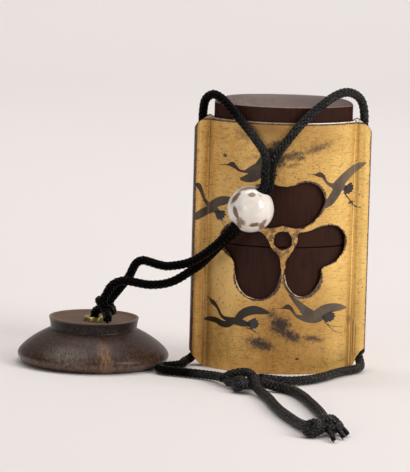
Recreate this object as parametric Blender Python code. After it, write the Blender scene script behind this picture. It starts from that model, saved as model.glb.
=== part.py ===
"""Sheathed inro: a small tiered case in a pierced outer sheath, with cord, bead and toggle.

Metres, +Z up. The sheath stands on the XY plane with its pierced face towards -Y,
and the origin is the middle of its underside.
"""

import math

import bmesh
import bpy
from mathutils import Vector

MM = 0.001
GAP = 0.3 * MM

# Sheath: front and back are arcs whose centres lie ARC_OFFSET beyond the mid-plane.
ARC_OFFSET = 15.6 * MM
SHEATH_ARC = 29.3 * MM
SHEATH_WALL = 1.1 * MM
SHEATH_FLOOR = 1.2 * MM
RIM_HEIGHT = 82.4 * MM
SHOULDER_HEIGHT = 83.2 * MM
SHOULDER_X = 24.0 * MM
TUBE_X = 26.33 * MM
TUBE_RADIUS = 2.67 * MM
GROOVE_RADIUS = 1.2 * MM
CORNER_CUT = 4.5 * MM
CORNER_BULGE = 0.6 * MM
# Lower tube ends: where the slanting cut starts, and its height at the tube's outer side.
# The right one has lost a little more of its corner.
FOOT_LEFT = (24.2 * MM, 5.5 * MM)
FOOT_RIGHT = (23.1 * MM, 6.1 * MM)
FOOT_BULGE = 0.35 * MM
CHIP_DEPTH = 0.7 * MM
CHIP_OUTLINE_MM = [(24.6, -1), (25.1, 1.9), (26.0, 4.4), (27.2, 6.3), (28.3, 7.0), (31, 7.6), (31, -1)]

# Inner case: lens-shaped tiers that nest on risers.
TIER_ARC = SHEATH_ARC - SHEATH_WALL - GAP
TIER_HALF_WIDTH = 22.65 * MM
TIER_WALL = 1.1 * MM
RISER_WALL = 1.0 * MM
RISER_HEIGHT = 4.0 * MM
TIER_FLOOR = 1.3 * MM
SEAMS = (19.6 * MM, 41.4 * MM, 64.0 * MM)
LID_EDGE_HEIGHT = 87.3 * MM
LID_ROOF = 1.5 * MM
DOME_RISE = 3.0 * MM

# Openwork: three two-lobed openings between three spokes round a small ring.
RING_CENTRE = (0.65 * MM, 44.0 * MM)
RING_HOLE = 2.9 * MM
# The three openings round the ring, in XZ, each two round lobes with a notch between them.
OPENINGS_MM = [
    [
        (-5.6, 48.2), (-3.4, 48.0), (-1.3, 48.4), (0.9, 48.9), (3.1, 48.3), (5.3, 48.1), (7.8, 48.6),
        (10.2, 50.1), (12.2, 52.4), (13.6, 55.2), (13.9, 57.8), (12.9, 60.4), (11.1, 62.2),
        (8.9, 62.9), (6.6, 62.9), (4.4, 62.2), (2.6, 61.6), (0.9, 61.5), (-1.0, 61.7), (-2.8, 62.2),
        (-4.8, 62.3), (-7.0, 61.8), (-9.0, 60.5), (-10.3, 58.5), (-10.8, 56.1), (-10.4, 53.5),
        (-9.1, 51.2), (-7.4, 49.4),
    ],
    [
        (5.9, 46.2), (9.2, 47.2), (12.9, 48.3), (16.3, 48.7), (18.9, 47.9), (20.7, 45.7), (21.1, 43.1),
        (20.5, 39.9), (18.5, 37.2), (16.0, 35.8), (13.7, 34.8), (13.4, 32.4), (12.6, 29.9),
        (11.0, 27.5), (8.9, 26.0), (6.7, 25.6), (4.6, 26.6), (2.8, 28.7), (1.9, 31.4), (1.7, 34.6),
        (2.3, 37.7), (3.5, 39.9), (4.8, 41.8), (5.5, 44.0),
    ],
    [
        (-4.2, 43.9), (-3.1, 41.6), (-1.5, 39.8), (-0.2, 37.8), (0.1, 35.0), (-0.2, 31.5),
        (-1.1, 28.6), (-2.8, 26.2), (-4.8, 24.8), (-6.8, 24.5), (-9.1, 24.7), (-11.3, 25.7),
        (-13.3, 28.1), (-14.4, 31.5), (-14.7, 35.1), (-16.6, 38.4), (-18.5, 40.6), (-19.3, 43.3),
        (-18.7, 46.0), (-16.8, 47.9), (-14.2, 48.6), (-11.2, 48.2), (-8.6, 47.2), (-6.0, 46.0),
    ],
]

# Cord and bead.
CORD = 3.0 * MM
CORD_ROOM = CORD / 2 + GAP
MOUTH_FLARE = 0.6 * MM
MOUTH_DEPTH = 9.0 * MM
BEAD_RADIUS = 7.55 * MM
BEAD_CENTRE = Vector((-10.2, -20.3, 55.0)) * MM
BEAD_AXIS = Vector((0.58, 0.0, 0.815)).normalized()
PAIR_OFFSET = Vector((-0.815, -1.41, 0.58)) * MM

# Toggle (netsuke): turned, with a dished top that holds a brass eyelet.
TOGGLE_CENTRE = Vector((-60.5, -1.0, 0.0)) * MM
EYELET_RADIUS = 3.2 * MM
EYELET_HOLE = 2.1 * MM

TIER_STEPS = 18
END_STEPS = 5
ROUND_STEPS = 36


def clear_scene():
    for old in list(bpy.data.objects):
        bpy.data.objects.remove(old, do_unlink=True)


def make_material(name, colour, roughness, metallic=0.0):
    material = bpy.data.materials.new(name)
    material.use_nodes = True
    shader = material.node_tree.nodes["Principled BSDF"]
    shader.inputs["Base Color"].default_value = (*colour, 1.0)
    shader.inputs["Roughness"].default_value = roughness
    shader.inputs["Metallic"].default_value = metallic
    return material


def add_object(name, bm, material=None, smooth_angle=35):
    """Turn a bmesh into a named object, shaded smooth below smooth_angle degrees."""
    bmesh.ops.recalc_face_normals(bm, faces=bm.faces)
    mesh = bpy.data.meshes.new(name)
    bm.to_mesh(mesh)
    bm.free()
    mesh.shade_smooth()
    mesh.set_sharp_from_angle(angle=math.radians(smooth_angle))
    if material:
        mesh.materials.append(material)
    obj = bpy.data.objects.new(name, mesh)
    bpy.context.scene.collection.objects.link(obj)
    return obj


def add_cutter(name, bm):
    cutter = add_object(name, bm)
    cutter.hide_render = True
    cutter.display_type = "WIRE"
    return cutter


def cut(obj, cutter, operation="DIFFERENCE"):
    boolean = obj.modifiers.new(cutter.name, "BOOLEAN")
    boolean.operation = operation
    boolean.solver = "EXACT"
    boolean.object = cutter


def arc(centre, radius, start, end, steps):
    """Points from angle start to angle end, both included."""
    return [
        (
            centre[0] + radius * math.cos(start + (end - start) * i / steps),
            centre[1] + radius * math.sin(start + (end - start) * i / steps),
        )
        for i in range(steps + 1)
    ]


def bowed(start, end, bulge, steps):
    """Points from start to end on an arc that stands bulge off the chord, to its left."""
    chord = math.dist(start, end)
    radius = chord * chord / (8 * bulge) + bulge / 2
    along = math.atan2(end[1] - start[1], end[0] - start[0])
    middle = ((start[0] + end[0]) / 2, (start[1] + end[1]) / 2)
    back = radius - bulge
    centre = (middle[0] + back * math.sin(along), middle[1] - back * math.cos(along))
    half = math.asin(chord / 2 / radius)
    top = along + math.pi / 2
    return arc(centre, radius, top + half, top - half, steps)


def extrude(bm, outline, place, low, high):
    """Add the closed prism of an outline; place(point, level) gives a corner in space."""
    base = [bm.verts.new(place(p, low)) for p in outline]
    lid = [bm.verts.new(place(p, high)) for p in outline]
    bm.faces.new(base)
    bm.faces.new(lid)
    for i in range(len(base)):
        j = (i + 1) % len(base)
        bm.faces.new((base[i], base[j], lid[j], lid[i]))


def upward(point, level):
    return (point[0], point[1], level)


def backward(point, level):
    return (point[0], level, point[1])


def loft(bm, loops):
    """Bridge a stack of equal loops of 3-D points, and cap both ends."""
    rings = [[bm.verts.new(p) for p in loop] for loop in loops]
    for low, high in zip(rings, rings[1:]):
        for i in range(len(low)):
            j = (i + 1) % len(low)
            bm.faces.new((low[i], low[j], high[j], high[i]))
    bm.faces.new(rings[0])
    bm.faces.new(rings[-1])


# ---------------------------------------------------------------- plan outlines


def lens(arc_radius, half_width):
    """Lens-shaped plan with rounded ends, counter-clockwise from the front left."""
    end_radius = (arc_radius**2 - half_width**2 - ARC_OFFSET**2) / (2 * (arc_radius - half_width))
    end_x = half_width - end_radius
    turn = math.atan2(end_x, ARC_OFFSET)
    down = -math.pi / 2
    front = arc((0, ARC_OFFSET), arc_radius, down - turn, down + turn, TIER_STEPS)
    right = arc((end_x, 0), end_radius, down + turn, -down - turn, END_STEPS)
    half = front + right[1:-1]
    return half + [(-x, -y) for x, y in half]


def groove_centre():
    """Centre of the groove's arc, which touches the sheath's face and its side tube."""
    to_face = SHEATH_ARC + GROOVE_RADIUS
    to_tube = TUBE_RADIUS + GROOVE_RADIUS
    span = math.hypot(TUBE_X, ARC_OFFSET)
    along = (to_face**2 - to_tube**2 + span**2) / (2 * span)
    aside = math.sqrt(to_face**2 - along**2)
    unit = (TUBE_X / span, -ARC_OFFSET / span)
    return (along * unit[0] - aside * -unit[1], ARC_OFFSET + along * unit[1] - aside * unit[0])


def sheath_outline():
    """Plan of the sheath: two arcs, a groove each side of each cord tube."""
    groove = groove_centre()
    turn = math.atan2(groove[0], ARC_OFFSET - groove[1])
    to_tube = math.atan2(-groove[1], TUBE_X - groove[0])
    down = -math.pi / 2
    front = arc((0, ARC_OFFSET), SHEATH_ARC, down - turn, down + turn, 26)
    near = arc(groove, GROOVE_RADIUS, math.pi / 2 + turn, to_tube, 3)
    tube = arc((TUBE_X, 0), TUBE_RADIUS, to_tube - math.pi, math.pi - to_tube, 12)
    far = [(x, -y) for x, y in reversed(near)]
    half = front + near[1:-1] + tube + far[1:-1]
    return half + [(-x, -y) for x, y in half]


# ---------------------------------------------------------------- sheath


def skyline():
    """Outline, in XZ, of what is cut away above the rim and the tubes' slanting ends."""
    low = (TUBE_X + TUBE_RADIUS + 0.1 * MM, SHOULDER_HEIGHT - CORNER_CUT)
    side = bowed((SHOULDER_X, SHOULDER_HEIGHT), low, CORNER_BULGE, 4)
    right = [(TIER_HALF_WIDTH, RIM_HEIGHT)] + side + [(32 * MM, low[1] - 2 * MM), (32 * MM, 90 * MM)]
    return right + [(-x, z) for x, z in reversed(right)]


def footline(start_x, height, side):
    """Outline, in XZ, of what is cut away below one tube's slanting end; side is 1 or -1."""
    high = (TUBE_X + TUBE_RADIUS + 0.1 * MM, height)
    slope = bowed(high, (start_x, 0), FOOT_BULGE, 4)
    below = [(start_x - 0.8 * MM, -2 * MM), (32 * MM, -2 * MM), (32 * MM, height + 2 * MM)]
    return [(side * x, z) for x, z in slope + below]


def opening_outline(points_mm):
    """One opening's closed outline, in XZ, with a point eased in between each two given."""
    outline = []
    for i, here in enumerate(points_mm):
        before, after = points_mm[i - 1], points_mm[(i + 1) % len(points_mm)]
        beyond = points_mm[(i + 2) % len(points_mm)]
        outline.append((here[0] * MM, here[1] * MM))
        between = [(9 * (here[k] + after[k]) - before[k] - beyond[k]) / 16 * MM for k in (0, 1)]
        outline.append(tuple(between))
    return outline


def cord_bore(bm, x):
    """Round bore for the cord up one side tube, flared towards both mouths."""
    levels = [
        (-MM, CORD_ROOM + MOUTH_FLARE),
        (MOUTH_DEPTH, CORD_ROOM),
        (SHOULDER_HEIGHT - MOUTH_DEPTH, CORD_ROOM),
        (SHOULDER_HEIGHT + MM, CORD_ROOM + MOUTH_FLARE),
    ]
    loft(
        bm,
        [
            [(px, py, z) for px, py in arc((x, 0), radius, 0, math.tau * 15 / 16, 15)]
            for z, radius in levels
        ],
    )


def make_sheath(material):
    body = bmesh.new()
    extrude(body, sheath_outline(), upward, 0, SHOULDER_HEIGHT + MM)
    sheath = add_object("sheath", body, material)

    cavity = bmesh.new()
    inside = lens(SHEATH_ARC - SHEATH_WALL, TIER_HALF_WIDTH + GAP)
    extrude(cavity, inside, upward, SHEATH_FLOOR, 95 * MM)
    cut(sheath, add_cutter("cavity_cutter", cavity))

    bores = bmesh.new()
    cord_bore(bores, TUBE_X)
    cord_bore(bores, -TUBE_X)
    cut(sheath, add_cutter("bore_cutter", bores))

    ends = bmesh.new()
    extrude(ends, skyline(), backward, -20 * MM, 20 * MM)
    extrude(ends, footline(*FOOT_RIGHT, 1), backward, -20 * MM, 20 * MM)
    extrude(ends, footline(*FOOT_LEFT, -1), backward, -20 * MM, 20 * MM)
    cut(sheath, add_cutter("end_cutter", ends))

    chip = bmesh.new()
    extrude(chip, [(x * MM, z * MM) for x, z in CHIP_OUTLINE_MM], backward, -20 * MM, -CHIP_DEPTH)
    cut(sheath, add_cutter("chip_cutter", chip))

    openwork = bmesh.new()
    for points_mm in OPENINGS_MM:
        extrude(openwork, opening_outline(points_mm), backward, -20 * MM, -3.2 * MM)
    hole = arc(RING_CENTRE, RING_HOLE, 0, math.tau * 19 / 20, 19)
    extrude(openwork, hole, backward, -20 * MM, -3.2 * MM)
    cut(sheath, add_cutter("openwork_cutter", openwork))


# ---------------------------------------------------------------- inner case


def level(outline, z, scale=1.0):
    return [(x * scale, y * scale, z) for x, y in outline]


def tier_plans():
    """Plans of a tier: outside, recess under it, outside of its riser, inside."""
    riser_arc = TIER_ARC - TIER_WALL - GAP
    return (
        lens(TIER_ARC, TIER_HALF_WIDTH),
        lens(TIER_ARC - TIER_WALL, TIER_HALF_WIDTH - 1.4 * MM),
        lens(riser_arc, TIER_HALF_WIDTH - 1.7 * MM),
        lens(riser_arc - RISER_WALL, TIER_HALF_WIDTH - 3.0 * MM),
    )


def make_tray(name, bottom, top, material, recessed=True):
    """Open tier from bottom to top, with a riser that goes into the piece above."""
    outside, recess, riser, inside = tier_plans()
    tray = bmesh.new()
    if recessed:
        ceiling = bottom + RISER_HEIGHT + GAP
        under = [level(recess, ceiling), level(recess, bottom), level(outside, bottom)]
    else:
        ceiling = bottom
        under = [level(outside, bottom)]
    upper = [
        level(outside, top),
        level(riser, top),
        level(riser, top + RISER_HEIGHT),
        level(inside, top + RISER_HEIGHT),
        level(inside, ceiling + TIER_FLOOR),
    ]
    loft(tray, under + upper)
    add_object(name, tray, material)


def make_lid(bottom, material):
    """Domed top tier, open below."""
    outside, recess, _, _ = tier_plans()
    loops = [
        level(recess, LID_EDGE_HEIGHT - LID_ROOF),
        level(recess, bottom),
        level(outside, bottom),
        level(outside, LID_EDGE_HEIGHT),
    ]
    for scale in (0.995, 0.975, 0.93, 0.85, 0.7, 0.45):
        share = math.sqrt(1 - scale**4)
        ridge = [(x * scale, y * math.sqrt(1 - share)) for x, y in outside]
        loops.append(level(ridge, LID_EDGE_HEIGHT + DOME_RISE * share))
    lid = bmesh.new()
    loft(lid, loops)
    crown = lid.verts.new((0, 0, LID_EDGE_HEIGHT + DOME_RISE))
    lid.verts.ensure_lookup_table()
    top_face = max(lid.faces, key=lambda face: face.calc_center_median().z)
    rim = list(top_face.verts)
    lid.faces.remove(top_face)
    for i, vert in enumerate(rim):
        lid.faces.new((vert, rim[(i + 1) % len(rim)], crown))
    add_object("lid", lid, material, smooth_angle=50)


# ---------------------------------------------------------------- turned pieces


def turned(name, profile, centre, steps, material, closed_loop=False):
    """Turn an (r, z) profile about the vertical through centre."""
    piece = bmesh.new()
    rings = []
    for r, z in profile:
        if r == 0:
            rings.append([piece.verts.new(centre + Vector((0, 0, z)))])
            continue
        ring = []
        for i in range(steps):
            a = math.tau * i / steps
            ring.append(piece.verts.new(centre + Vector((r * math.cos(a), r * math.sin(a), z))))
        rings.append(ring)
    pairs = list(zip(rings, rings[1:]))
    if closed_loop:
        pairs.append((rings[-1], rings[0]))
    for low, high in pairs:
        for i in range(steps):
            j = (i + 1) % steps
            if len(low) == 1:
                piece.faces.new((low[0], high[i], high[j]))
            elif len(high) == 1:
                piece.faces.new((low[i], low[j], high[0]))
            else:
                piece.faces.new((low[i], low[j], high[j], high[i]))
    return add_object(name, piece, material)


def make_toggle(wood, brass):
    """Inverted bowl with a wide flared edge, a low collar and a dished top."""
    seat = EYELET_RADIUS + GAP
    profile_mm = [
        (0, 0), (21.2, 0), (22.6, 0.4), (24.0, 1.4), (24.8, 2.9), (24.5, 4.3), (22.9, 6.1),
        (19.8, 8.5), (16.8, 10.3), (14.5, 11.4), (14.2, 12.1), (14.7, 15.1), (14.4, 15.5),
        (13.8, 15.4), (13.1, 14.8), (8.5, 14.3),
    ]
    profile = [(r * MM, z * MM) for r, z in profile_mm]
    profile += [(seat, 14.2 * MM), (seat, 13.0 * MM), (0, 13.0 * MM)]
    turned("netsuke", profile, TOGGLE_CENTRE, ROUND_STEPS, wood)
    ring = [
        (EYELET_HOLE, 13.3 * MM), (EYELET_RADIUS, 13.3 * MM), (EYELET_RADIUS, 15.2 * MM),
        (2.9 * MM, 15.6 * MM), (2.4 * MM, 15.6 * MM), (EYELET_HOLE, 15.3 * MM),
    ]
    turned("netsuke_eyelet", ring, TOGGLE_CENTRE, 20, brass, closed_loop=True)


def make_bead(material):
    """Round bead with an oval bore that clears both strands of the cord."""
    bead = bmesh.new()
    bmesh.ops.create_uvsphere(bead, u_segments=24, v_segments=14, radius=BEAD_RADIUS)
    aside = PAIR_OFFSET.normalized()
    third = BEAD_AXIS.cross(aside)
    for vert in bead.verts:
        x, y, z = vert.co
        vert.co = BEAD_CENTRE + aside * x + third * y + BEAD_AXIS * z
    ojime = add_object("ojime", bead, material)

    bore = bmesh.new()
    far = PAIR_OFFSET.length
    quarter = math.pi / 2
    oval = arc((far, 0), CORD_ROOM, -quarter, quarter, 7) + arc((-far, 0), CORD_ROOM, quarter, 3 * quarter, 7)
    reach = BEAD_RADIUS + 2 * MM
    ends = [
        [BEAD_CENTRE + aside * u + third * v + BEAD_AXIS * side for u, v in oval]
        for side in (-reach, reach)
    ]
    loft(bore, ends)
    cut(ojime, add_cutter("bead_bore_cutter", bore))


# ---------------------------------------------------------------- cord

# Route of the left strand: from the toggle's knot, through the bead in front of the
# other strand, over the rim, down the left tube and back along the floor to the knot.
LEFT_ROUTE_MM = [
    (-54.2, -4.9, 23.1), (-52.4, -4.5, 25.3), (-49.2, -4.6, 29.6), (-48.1, -4.7, 32.0),
    (-46.9, -4.9, 34.1), (-45.0, -5.5, 35.2), (-42.7, -6.3, 34.9), (-39.3, -7.3, 34.1),
    (-35.8, -8.6, 34.0), (-28.8, -12.8, 36.3), (-21.7, -18.5, 42.1), (-15.77, -21.71, 48.9),
    (-11.02, -21.71, 55.58), (-6.26, -21.71, 62.26), (-5.9, -21.0, 66.6), (-5.6, -19.0, 69.9),
    (-6.3, -16.9, 73.1), (-10.0, -14.6, 78.2), (-17.2, -10.4, 86.3), (-20.3, -7.4, 89.2),
    (-23.2, -4.2, 90.2), (-25.6, -1.5, 88.2), (-26.33, -0.1, 84.0), (-26.33, 0, 79.0),
    (-26.33, 0, 66.0), (-26.33, 0, 18.0), (-26.33, 0, 10.0), (-26.33, 0, 6.2), (-27.0, 0, 3.9),
    (-28.7, -0.6, 2.2), (-30.3, -3.2, 1.7), (-31.0, -8.2, 1.7), (-33.6, -11.8, 1.7),
    (-37.0, -14.1, 1.7), (-38.5, -17.3, 1.7), (-37.2, -20.6, 1.7), (-33.4, -22.7, 1.7),
    (-25.4, -26.2, 1.7), (-19.6, -31.4, 2.0), (-17.6, -37.8, 2.6),
]

# Route of the right strand, behind the left one in the bead.
RIGHT_ROUTE_MM = [
    (-56.4, -8.8, 24.1), (-55.0, -9.2, 26.7), (-52.7, -9.4, 28.4), (-49.4, -9.4, 28.8),
    (-42.0, -9.0, 27.7), (-35.0, -8.8, 28.9), (-28.4, -9.2, 33.1), (-25.1, -11.0, 35.9),
    (-18.2, -16.8, 44.0), (-14.14, -18.89, 47.74), (-9.38, -18.89, 54.42), (-4.63, -18.89, 61.1),
    (-4.0, -17.7, 65.6), (-3.3, -16.2, 69.4), (-1.4, -15.6, 73.3), (1.5, -15.5, 77.2), (4.6, -15.3, 81.3),
    (8.0, -14.2, 84.9), (12.0, -12.5, 88.3), (16.1, -9.9, 91.1), (19.9, -6.6, 92.2),
    (23.2, -3.5, 91.2), (25.4, -1.2, 88.6), (26.33, -0.1, 84.4), (26.33, 0, 79.0),
    (26.33, 0, 66.0), (26.33, 0, 18.0), (26.33, 0, 10.0), (26.35, 0, 6.6), (27.0, -0.7, 4.2),
    (27.5, -3.0, 2.5), (27.2, -6.4, 1.8), (25.6, -9.8, 1.7), (22.8, -12.8, 1.7),
    (19.2, -17.6, 1.7), (15.4, -24.4, 1.7), (11.2, -30.2, 1.7), (7.0, -33.4, 1.7),
    (2.4, -35.2, 1.8), (-2.4, -36.6, 2.4), (-6.0, -38.8, 3.2),
]

TAIL_LEFT_ROUTE_MM = [
    (-7.6, -50.6, 2.9), (-6.2, -55.0, 2.0), (-4.9, -59.4, 1.7), (-3.9, -63.9, 1.6),
    (-3.1, -68.4, 1.6), (-2.5, -72.8, 1.6), (-1.8, -77.3, 1.6), (-1.0, -81.8, 1.6),
    (-0.2, -86.2, 1.6), (0.9, -90.7, 1.6), (2.0, -95.1, 1.6), (3.2, -99.6, 1.6),
    (4.4, -104.0, 1.6), (5.7, -108.4, 1.8), (7.0, -112.8, 2.2),
]

TAIL_RIGHT_ROUTE_MM = [
    (-5.2, -44.9, 2.7), (-1.4, -46.0, 1.9), (2.4, -48.4, 1.6), (5.2, -53.4, 1.6), (6.8, -59.0, 1.6),
    (8.0, -63.9, 1.6), (8.9, -68.9, 1.6), (9.8, -73.8, 1.6), (10.7, -78.8, 1.6), (11.5, -83.8, 1.6),
    (12.2, -88.8, 1.6), (12.7, -93.8, 1.6), (13.1, -98.8, 1.8), (13.6, -103.8, 2.1),
    (13.9, -108.8, 3.0),
]


def smooth_curve(route, steps):
    """Points on a Catmull-Rom curve through the route's points, steps to each stretch."""
    points = [Vector(p) * MM for p in route]
    points = [2 * points[0] - points[1]] + points + [2 * points[-1] - points[-2]]
    curve = []
    for a, b, c, d in zip(points, points[1:], points[2:], points[3:]):
        for i in range(steps):
            t = i / steps
            curve.append(
                0.5 * (2 * b + (c - a) * t + (2 * a - 5 * b + 4 * c - d) * t**2
                       + (3 * b - a - 3 * c + d) * t**3)
            )
    curve.append(points[-2])
    return curve


def thin_out(curve, turn=math.radians(24), stretch=3 * CORD):
    """Keep a point wherever the curve has turned by turn or run on by stretch."""
    kept = [curve[0]]
    heading = (curve[1] - curve[0]).normalized()
    for here, after in zip(curve[1:], curve[2:]):
        ahead = (after - here).normalized()
        if ahead.angle(heading) > turn or (here - kept[-1]).length > stretch:
            kept.append(here)
            heading = ahead
    kept.append(curve[-1])
    return kept


def make_cord(name, route, material):
    curve = bpy.data.curves.new(name, "CURVE")
    curve.dimensions = "3D"
    curve.bevel_depth = CORD / 2
    curve.bevel_resolution = 2
    curve.use_fill_caps = True
    points = thin_out(smooth_curve(route, 16))
    spline = curve.splines.new("POLY")
    spline.points.add(len(points) - 1)
    for spot, point in zip(spline.points, points):
        spot.co = (*point, 1)
    curve.materials.append(material)
    bpy.context.scene.collection.objects.link(bpy.data.objects.new(name, curve))


def lump(centre, half_sizes, lean):
    """Rounded lump with shallow waists where a knot's turns meet; sizes in millimetres."""
    knot = bmesh.new()
    bmesh.ops.create_uvsphere(knot, u_segments=14, v_segments=8, radius=1)
    turn = math.radians(lean)
    for vert in knot.verts:
        x, y, z = vert.co
        waist = 1 - 0.08 * math.cos(3 * math.atan2(y, x)) * (1 - z * z)
        x, y, z = x * waist * half_sizes[0], y * waist * half_sizes[1], z * half_sizes[2]
        across = x * math.cos(turn) - y * math.sin(turn)
        deep = x * math.sin(turn) + y * math.cos(turn)
        vert.co = (centre[0] + across, centre[1] + deep, centre[2] + z)
    bmesh.ops.scale(knot, vec=(MM, MM, MM), verts=knot.verts)
    return knot


def stub(start, end, start_radius, end_radius):
    """Short round length of cord from start to end, in millimetres."""
    start, end = Vector(start), Vector(end)
    along = (end - start).normalized()
    aside = along.orthogonal().normalized()
    third = along.cross(aside)
    piece = bmesh.new()
    loops = []
    for middle, radius in ((start, start_radius), (end, end_radius)):
        ring = arc((0, 0), radius, 0, math.tau * 7 / 8, 7)
        loops.append([(middle + aside * u + third * v) * MM for u, v in ring])
    loft(piece, loops)
    return piece


def make_knot(name, lumps, stubs, material):
    """Tightened knot: lumps (centre, half sizes, lean) and the stubs that leave it."""
    knot = add_object(name, lump(*lumps[0]), material)
    others = [lump(*values) for values in lumps[1:]] + [stub(*values) for values in stubs]
    for number, other in enumerate(others):
        cut(knot, add_cutter(f"{name}_join_{number}", other), "UNION")


def make_cords(material):
    make_cord("cord_left", LEFT_ROUTE_MM, material)
    make_cord("cord_right", RIGHT_ROUTE_MM, material)
    make_cord("tail_left", TAIL_LEFT_ROUTE_MM, material)
    make_cord("tail_right", TAIL_RIGHT_ROUTE_MM, material)
    make_knot(
        "netsuke_knot",
        [((-56.8, -6.7, 19.8), (3.4, 3.2, 3.2), 0)],
        [
            ((-57.6, -5.1, 18.4), (-60.2, -1.4, 17.4), 1.3, 1.3),
            ((-60.2, -1.4, 17.9), (-60.4, -1.1, 15.2), 1.3, 1.2),
            ((-56.4, -8.5, 18.8), (-55.6, -15.3, 17.6), 1.5, 1.4),
        ],
        material,
    )
    make_knot("front_knot", [((-11.6, -45.2, 3.9), (4.6, 6.6, 3.7), 8)], [], material)
    make_knot(
        "end_knot",
        [((14.2, -114.5, 3.4), (3.0, 3.6, 2.9), -20), ((8.8, -117.8, 2.8), (3.1, 3.1, 2.6), 0)],
        [
            ((10.0, -117.0, 2.8), (13.4, -115.2, 3.0), 1.7, 1.7),
            ((15.4, -113.6, 3.6), (19.4, -109.4, 1.1), 1.4, 0.8),
            ((15.6, -116.0, 2.8), (18.4, -121.6, 1.0), 1.4, 0.8),
            ((14.4, -116.6, 2.6), (15.4, -126.0, 1.0), 1.4, 0.8),
        ],
        material,
    )


def main():
    clear_scene()
    gold = make_material("gold_lacquer", (0.50, 0.30, 0.09), 0.36, 0.55)
    lacquer = make_material("brown_lacquer", (0.045, 0.018, 0.012), 0.30)
    glaze = make_material("white_glaze", (0.82, 0.76, 0.68), 0.14)
    wood = make_material("turned_wood", (0.06, 0.028, 0.018), 0.40)
    brass = make_material("brass", (0.55, 0.45, 0.13), 0.30, 1.0)
    braid = make_material("black_braid", (0.010, 0.010, 0.010), 0.75)

    make_sheath(gold)
    first, second, third = SEAMS
    make_tray("tray_bottom", SHEATH_FLOOR + GAP, first, lacquer, recessed=False)
    make_tray("tray_middle", first + GAP, second, lacquer)
    make_tray("tray_top", second + GAP, third, lacquer)
    make_lid(third + GAP, lacquer)
    make_toggle(wood, brass)
    make_bead(glaze)
    make_cords(braid)


main()
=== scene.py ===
"""Dressed scene for a sheathed inro: lacquered case, braided cord, glazed bead and turned toggle."""

import math
import random
from functools import reduce

import bmesh
import bpy
import numpy as np
from mathutils import Matrix, Vector


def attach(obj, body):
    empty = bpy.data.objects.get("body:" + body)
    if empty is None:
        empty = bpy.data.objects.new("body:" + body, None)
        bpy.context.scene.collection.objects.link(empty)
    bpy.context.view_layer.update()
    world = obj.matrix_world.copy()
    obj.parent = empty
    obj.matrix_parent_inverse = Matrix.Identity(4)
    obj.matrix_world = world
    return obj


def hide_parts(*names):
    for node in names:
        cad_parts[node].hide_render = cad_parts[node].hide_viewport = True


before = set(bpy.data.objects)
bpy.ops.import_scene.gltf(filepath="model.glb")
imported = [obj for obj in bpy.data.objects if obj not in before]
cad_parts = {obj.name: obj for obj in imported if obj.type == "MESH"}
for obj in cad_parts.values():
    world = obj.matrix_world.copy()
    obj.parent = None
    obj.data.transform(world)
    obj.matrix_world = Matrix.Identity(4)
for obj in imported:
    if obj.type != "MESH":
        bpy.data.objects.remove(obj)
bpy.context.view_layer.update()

MM = 0.001


# ---------------------------------------------------------------- nodes, fields and finishes


def connect(tree, node, inputs):
    """Set a node's inputs; a field is linked, and a list of fields shares one input."""
    for key, value in inputs.items():
        if isinstance(value, (Field, list)):
            for field in value if isinstance(value, list) else [value]:
                tree.links.new(field.socket, node.inputs[key])
        else:
            node.inputs[key].default_value = value


def put(tree, kind, inputs=None, out=0, **settings):
    """Add a node with its settings and inputs, and return one of its outputs as a field."""
    node = tree.nodes.new(kind)
    for name, value in settings.items():
        setattr(node, name, value)
    connect(tree, node, inputs or {})
    return Field(tree, node.outputs[out])


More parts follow.
